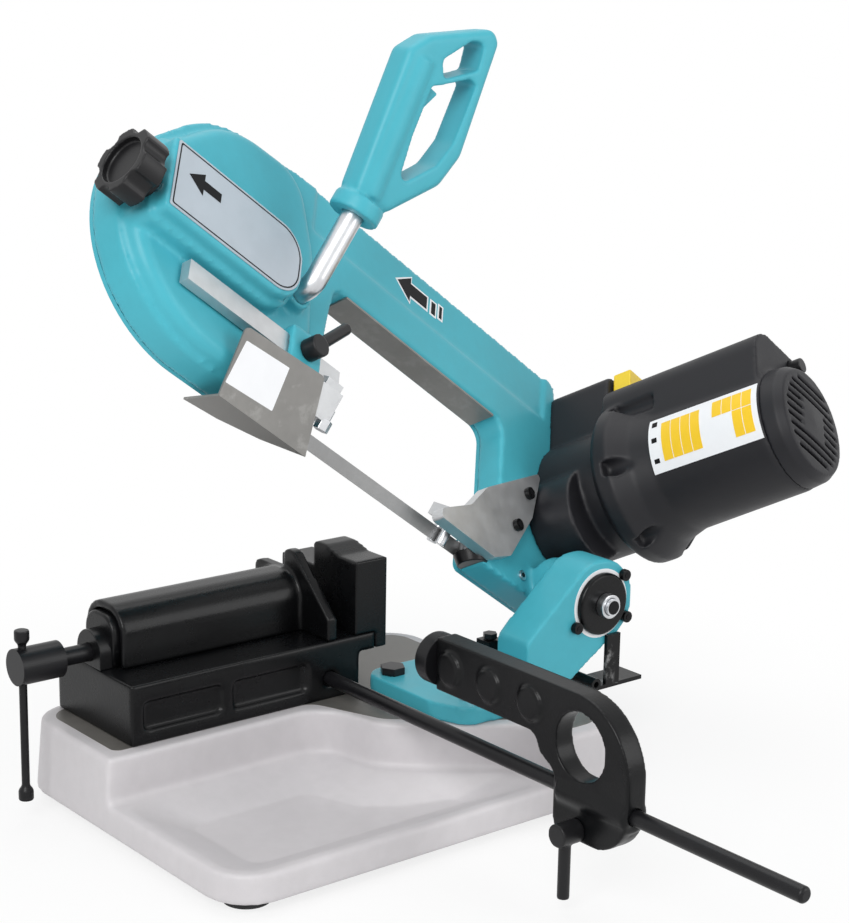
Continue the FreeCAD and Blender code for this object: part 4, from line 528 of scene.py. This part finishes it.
PLATE_TOP = 65.0
added(arrow("plate_arrow", 568, 531, 17, 11, 4.5, 20, (PLATE_TOP, PLATE_TOP + 0.5)), "tension_plate", "ink_and_painted_shade")
PLATE_LEFT, PLATE_RIGHT, PLATE_LOW, PLATE_HIGH, PLATE_ROUND = -583, -431, -21, 46, 27
plate_border = []
for edge in (2.0, 3.2):
    plate_border.append(rounded([(PLATE_LEFT + edge, PLATE_LOW + edge, 2),
                                 (PLATE_RIGHT - edge, PLATE_LOW + edge, PLATE_ROUND - edge),
                                 (PLATE_RIGHT - edge, PLATE_HIGH - edge, PLATE_ROUND - edge),
                                 (PLATE_LEFT + edge, PLATE_HIGH - edge, 2)]))
added(flat_shape("plate_border", plate_border, PLATE_TOP, PLATE_TOP + 0.4, WHEELS), "tension_plate", "ink_and_painted_shade")

BEAM_FACE, BEAM_MIDDLE = 16.4, 142
for name, grow, top, ink_and_painted_shade in (("beam_mark_border", 2.0, 17.3, "white_print"), ("beam_mark", 0.0, 17.5, "ink_and_painted_shade")):
    levels = (BEAM_FACE, top)
    added(arrow(name, 256, 212, 19, 14, 7, BEAM_MIDDLE, levels, grow), "bow_frame", ink_and_painted_shade)
    for number, (start, end) in enumerate(((205, 199), (193, 189))):
        mark = bar(f"{name}_{number}", start, end, BEAM_MIDDLE + 2 * number, 7, levels, grow)
        added(mark, "bow_frame", ink_and_painted_shade)

guard_patch = rounded([(-459, 8, 1), (-457, -30, 1), (-403, -27, 1), (-409, 11, 1)])
added(flat_shape("guard_patch", [guard_patch], 19.8, 20.3, GUARD_FACE), "blade_guard", "white_print")

CHART_START, COVER_RADIUS, COVER_TAPER = 150, 61.5, 56
CELL, CELL_STEP, PRINT_LIFT = 9.7, 10.5, 0.7


def chart_patch(name, start, end, low, high, lift, ink_and_painted_shade):
    """A thin sheet on the round of the motor cover between two levels and two heights."""
    bpy.ops.object.select_all(action="DESELECT")
    near, far = [(COVER_RADIUS - (level - CHART_START) / COVER_TAPER + lift) * MM for level in (start, end)]
    bpy.ops.mesh.primitive_cone_add(vertices=180, radius1=near, radius2=far, depth=(end - start) * MM,
                                    end_fill_type="NOTHING", location=(0, 0, (start + end) / 2 * MM))
    sheet = settled(named(name))
    bpy.ops.object.mode_set(mode="EDIT")
    for spot, facing in (((0, high, 0), (0, 1, 0)), ((0, low, 0), (0, -1, 0)), ((0, 0, 0), (1, 0, 0))):
        bpy.ops.mesh.select_all(action="SELECT")
        bpy.ops.mesh.bisect(plane_co=Vector(spot) * MM, plane_no=facing, clear_outer=True)
    bpy.ops.object.mode_set(mode="OBJECT")
    thick = sheet.modifiers.new("thick", "SOLIDIFY")
    thick.thickness = 0.3 * MM
    applied(settled(sheet, MOTOR))
    bpy.ops.object.shade_smooth_by_angle(angle=math.radians(30))
    return added(sheet, "motor_cover", ink_and_painted_shade)


chart_patch("chart", CHART_START, 266, -36, 20, 0.4, "white_print")
for number in range(4):
    start = 164 + CELL_STEP * number
    chart_patch(f"chart_left_{number}", start, start + CELL, -28, 12, PRINT_LIFT, "yellow_print")
    start = 219 + CELL_STEP * number
    chart_patch(f"chart_right_{number}", start, start + CELL, -3, 15, PRINT_LIFT, "yellow_print")
for number in range(2):
    start = 240 + CELL_STEP * number
    chart_patch(f"chart_low_{number}", start, start + CELL, -29, -4, PRINT_LIFT, "yellow_print")
for number, level in enumerate((13, -5, -25)):
    chart_patch(f"chart_spot_{number}", 153.5, 159, level - 3, level + 3 - number, PRINT_LIFT, "ink_and_painted_shade")

# Hinge: the pale washer below the cap, dark hexagons on its screws as painted shade in their sockets, and the
# shaft's dark end
washer = rod("hinge_washer", (HINGE_X, -62.6, HINGE_Z), (HINGE_X, -61, HINGE_Z), 33)
added(washer, "turntable", "white_print")
SCREW_CIRCLE = 36
for number, angle in enumerate((210, 40, -30)):
    turn = math.radians(angle)
    x, z = HINGE_X + SCREW_CIRCLE * math.cos(turn), HINGE_Z + SCREW_CIRCLE * math.sin(turn)
    added(rod(f"hinge_socket_shade_{number}", (x, -68.4, z), (x, -67.4, z), 2.8, sides=6), "hinge_screws", "ink_and_painted_shade")
shaft_end = rod("shaft_end", (HINGE_X, -80.4, HINGE_Z), (HINGE_X, -79.4, HINGE_Z), 6.5)
added(shaft_end, "hinge_shaft", "ink_and_painted_shade")

# Small hardware on the guides and the chin; the dark hexagons on the screws are painted shade for their
# sockets
for number, (x, y) in enumerate(((-62, 2), (-78, -42))):
    socket = rod(f"guide_socket_shade_{number}", (x, y, 36.4), (x, y, 37.3), 3, WHEELS, sides=6)
    added(socket, "fixed_guide_screws", "ink_and_painted_shade")
roller = rod("guide_roller", (-121, -68, 8), (-118, -84, 8), 8.5, WHEELS)
added(eased(roller, 0.8 * MM), "fixed_guide", "steel")
shield = rod("guide_shield", (-114, -83, 8), (-111, -94, 8), 17, WHEELS, 14)
added(eased(shield, 1.2 * MM), "fixed_guide", "black_steel")
CHIN = (-51, -79)
chin_screw = rod("chin_screw", (*CHIN, 18), (*CHIN, 22), 5, WHEELS)
added(eased(chin_screw, 0.8 * MM), "bow_frame", "steel")
chin_socket_shade = rod("chin_socket_shade", (*CHIN, 21.4), (*CHIN, 22.3), 2.6, WHEELS, sides=6)
added(chin_socket_shade, "bow_frame", "ink_and_painted_shade")
NUT = (-346, -14)
guard_nut = rod("guard_nut", (*NUT, -15), (*NUT, -5), 7, BOW, sides=6)
stud = rod("guard_stud", (*NUT, -8), (*NUT, 5), 4, BOW)
added(eased(joined(guard_nut, [stud]), 0.5 * MM), "guide_arm", "steel")

# Vice: the nut's plate closes the left end of the hood
hood_line = rounded([(82.8, 128.3, 0), (130.2, 128.3, 0), (130.2, 173.2, 18), (82.8, 173.2, 18)])
added(flat_shape("nut_plate", [hood_line], -165.5, -152, ACROSS, 2.5), "spindle_nut")

# A dark sheet on top of the deck
deck_line = rounded([(-193, 36, 8), (8, 36, 20), (36, -34, 25), (70, -62, 30), (140, -112, 30),
                     (140, -150, 20), (194, -150, 22), (194, 152, 22), (-193, 152, 22)])
added(flat_shape("deck_face", [deck_line], 73.4, 74.25), "base_casting", "dark_deck")


# Floor and backdrop: white to the camera and to reflections, plain in their own light

def seen_rays(tree):
    """One for rays that see the backdrop directly, in a reflection or through glass."""
    rays = tree.nodes.new("ShaderNodeLightPath")
    other = maths(tree, "MAXIMUM", rays.outputs["Is Glossy Ray"], rays.outputs["Is Transmission Ray"])
    return maths(tree, "MAXIMUM", rays.outputs["Is Camera Ray"], other)


# The floor is 80 m wide, and its shadow fades out between two distances from the middle, in metres
FLOOR_SIZE = 80
FADE_FROM, FADE_TO, FADE_LEAST = 0.25, 0.75, 0.8
FLOOR_COLOUR = (0.86, 0.86, 0.86, 1)
bpy.ops.object.select_all(action="DESELECT")
bpy.ops.mesh.primitive_plane_add(size=FLOOR_SIZE, location=(0, 0, -0.2 * MM))
floor = named("floor")
paper = bpy.data.materials.new("paper")
paper.use_nodes = True
tree = paper.node_tree
tree.nodes.clear()
out = tree.nodes.new("ShaderNodeOutputMaterial")
lit = tree.nodes.new("ShaderNodeBsdfDiffuse")
lit.inputs["Color"].default_value = FLOOR_COLOUR
glow = tree.nodes.new("ShaderNodeEmission")
glow.inputs["Strength"].default_value = 1.0
blend = tree.nodes.new("ShaderNodeMixShader")
coords = tree.nodes.new("ShaderNodeTexCoord")
span = tree.nodes.new("ShaderNodeVectorMath")
span.operation = "LENGTH"
tree.links.new(coords.outputs["Object"], span.inputs[0])
fade = ranged(tree, span.outputs["Value"], FADE_FROM, FADE_TO, FADE_LEAST, 1.0)
tree.links.new(maths(tree, "MULTIPLY", seen_rays(tree), fade), blend.inputs["Fac"])
tree.links.new(lit.outputs[0], blend.inputs[1])
tree.links.new(glow.outputs[0], blend.inputs[2])
tree.links.new(blend.outputs[0], out.inputs["Surface"])
floor.data.materials.append(paper)

AMBIENT = 0.4
world = bpy.data.worlds.new("studio")
bpy.context.scene.world = world
world.use_nodes = True
tree = world.node_tree
backdrop = tree.nodes["Background"]
backdrop.inputs["Color"].default_value = (1, 1, 1, 1)
tree.links.new(ranged(tree, seen_rays(tree), 0.0, 1.0, AMBIENT, 1.0), backdrop.inputs["Strength"])


# Light and camera

def soft_lamp(name, spot, aim, size, power):
    """A square soft box that points at a spot."""
    data = bpy.data.lights.new(name, "AREA")
    data.size = size
    data.energy = power
    lamp = bpy.data.objects.new(name, data)
    bpy.context.scene.collection.objects.link(lamp)
    lamp.location = spot
    lamp.rotation_mode = "QUATERNION"
    lamp.rotation_quaternion = (Vector(aim) - Vector(spot)).to_track_quat("-Z", "Y")


MIDDLE = (0.05, 0.0, 0.3)
soft_lamp("key", (-2.2, -1.7, 2.2), MIDDLE, 1.8, 74)
soft_lamp("fill", (1.6, -2.6, 1.3), MIDDLE, 1.8, 27)
soft_lamp("top", (0.3, 0.6, 2.8), MIDDLE, 2.2, 26)

CAMERA_SPOT = Vector((-1034.3, -1408.3, 725.4)) * MM
AZIMUTH, ELEVATION, ROLL = math.radians(-39), math.radians(13.5), math.radians(1)
FOCAL_PIXELS, IMAGE_HEIGHT, SENSOR = 2100, 923, 36.0
back = Vector((math.sin(AZIMUTH) * math.cos(ELEVATION), -math.cos(AZIMUTH) * math.cos(ELEVATION),
               math.sin(ELEVATION)))
data = bpy.data.cameras.new("camera")
data.sensor_width = SENSOR
data.lens = FOCAL_PIXELS * SENSOR / IMAGE_HEIGHT
camera = bpy.data.objects.new("camera", data)
bpy.context.scene.collection.objects.link(camera)
camera.rotation_mode = "QUATERNION"
camera.location = CAMERA_SPOT
level = (-back).to_track_quat("-Z", "Y").to_matrix()
camera.rotation_quaternion = (level @ Matrix.Rotation(ROLL, 3, "Z")).to_quaternion()
bpy.context.scene.camera = camera
bpy.context.scene.view_settings.view_transform = "Standard"
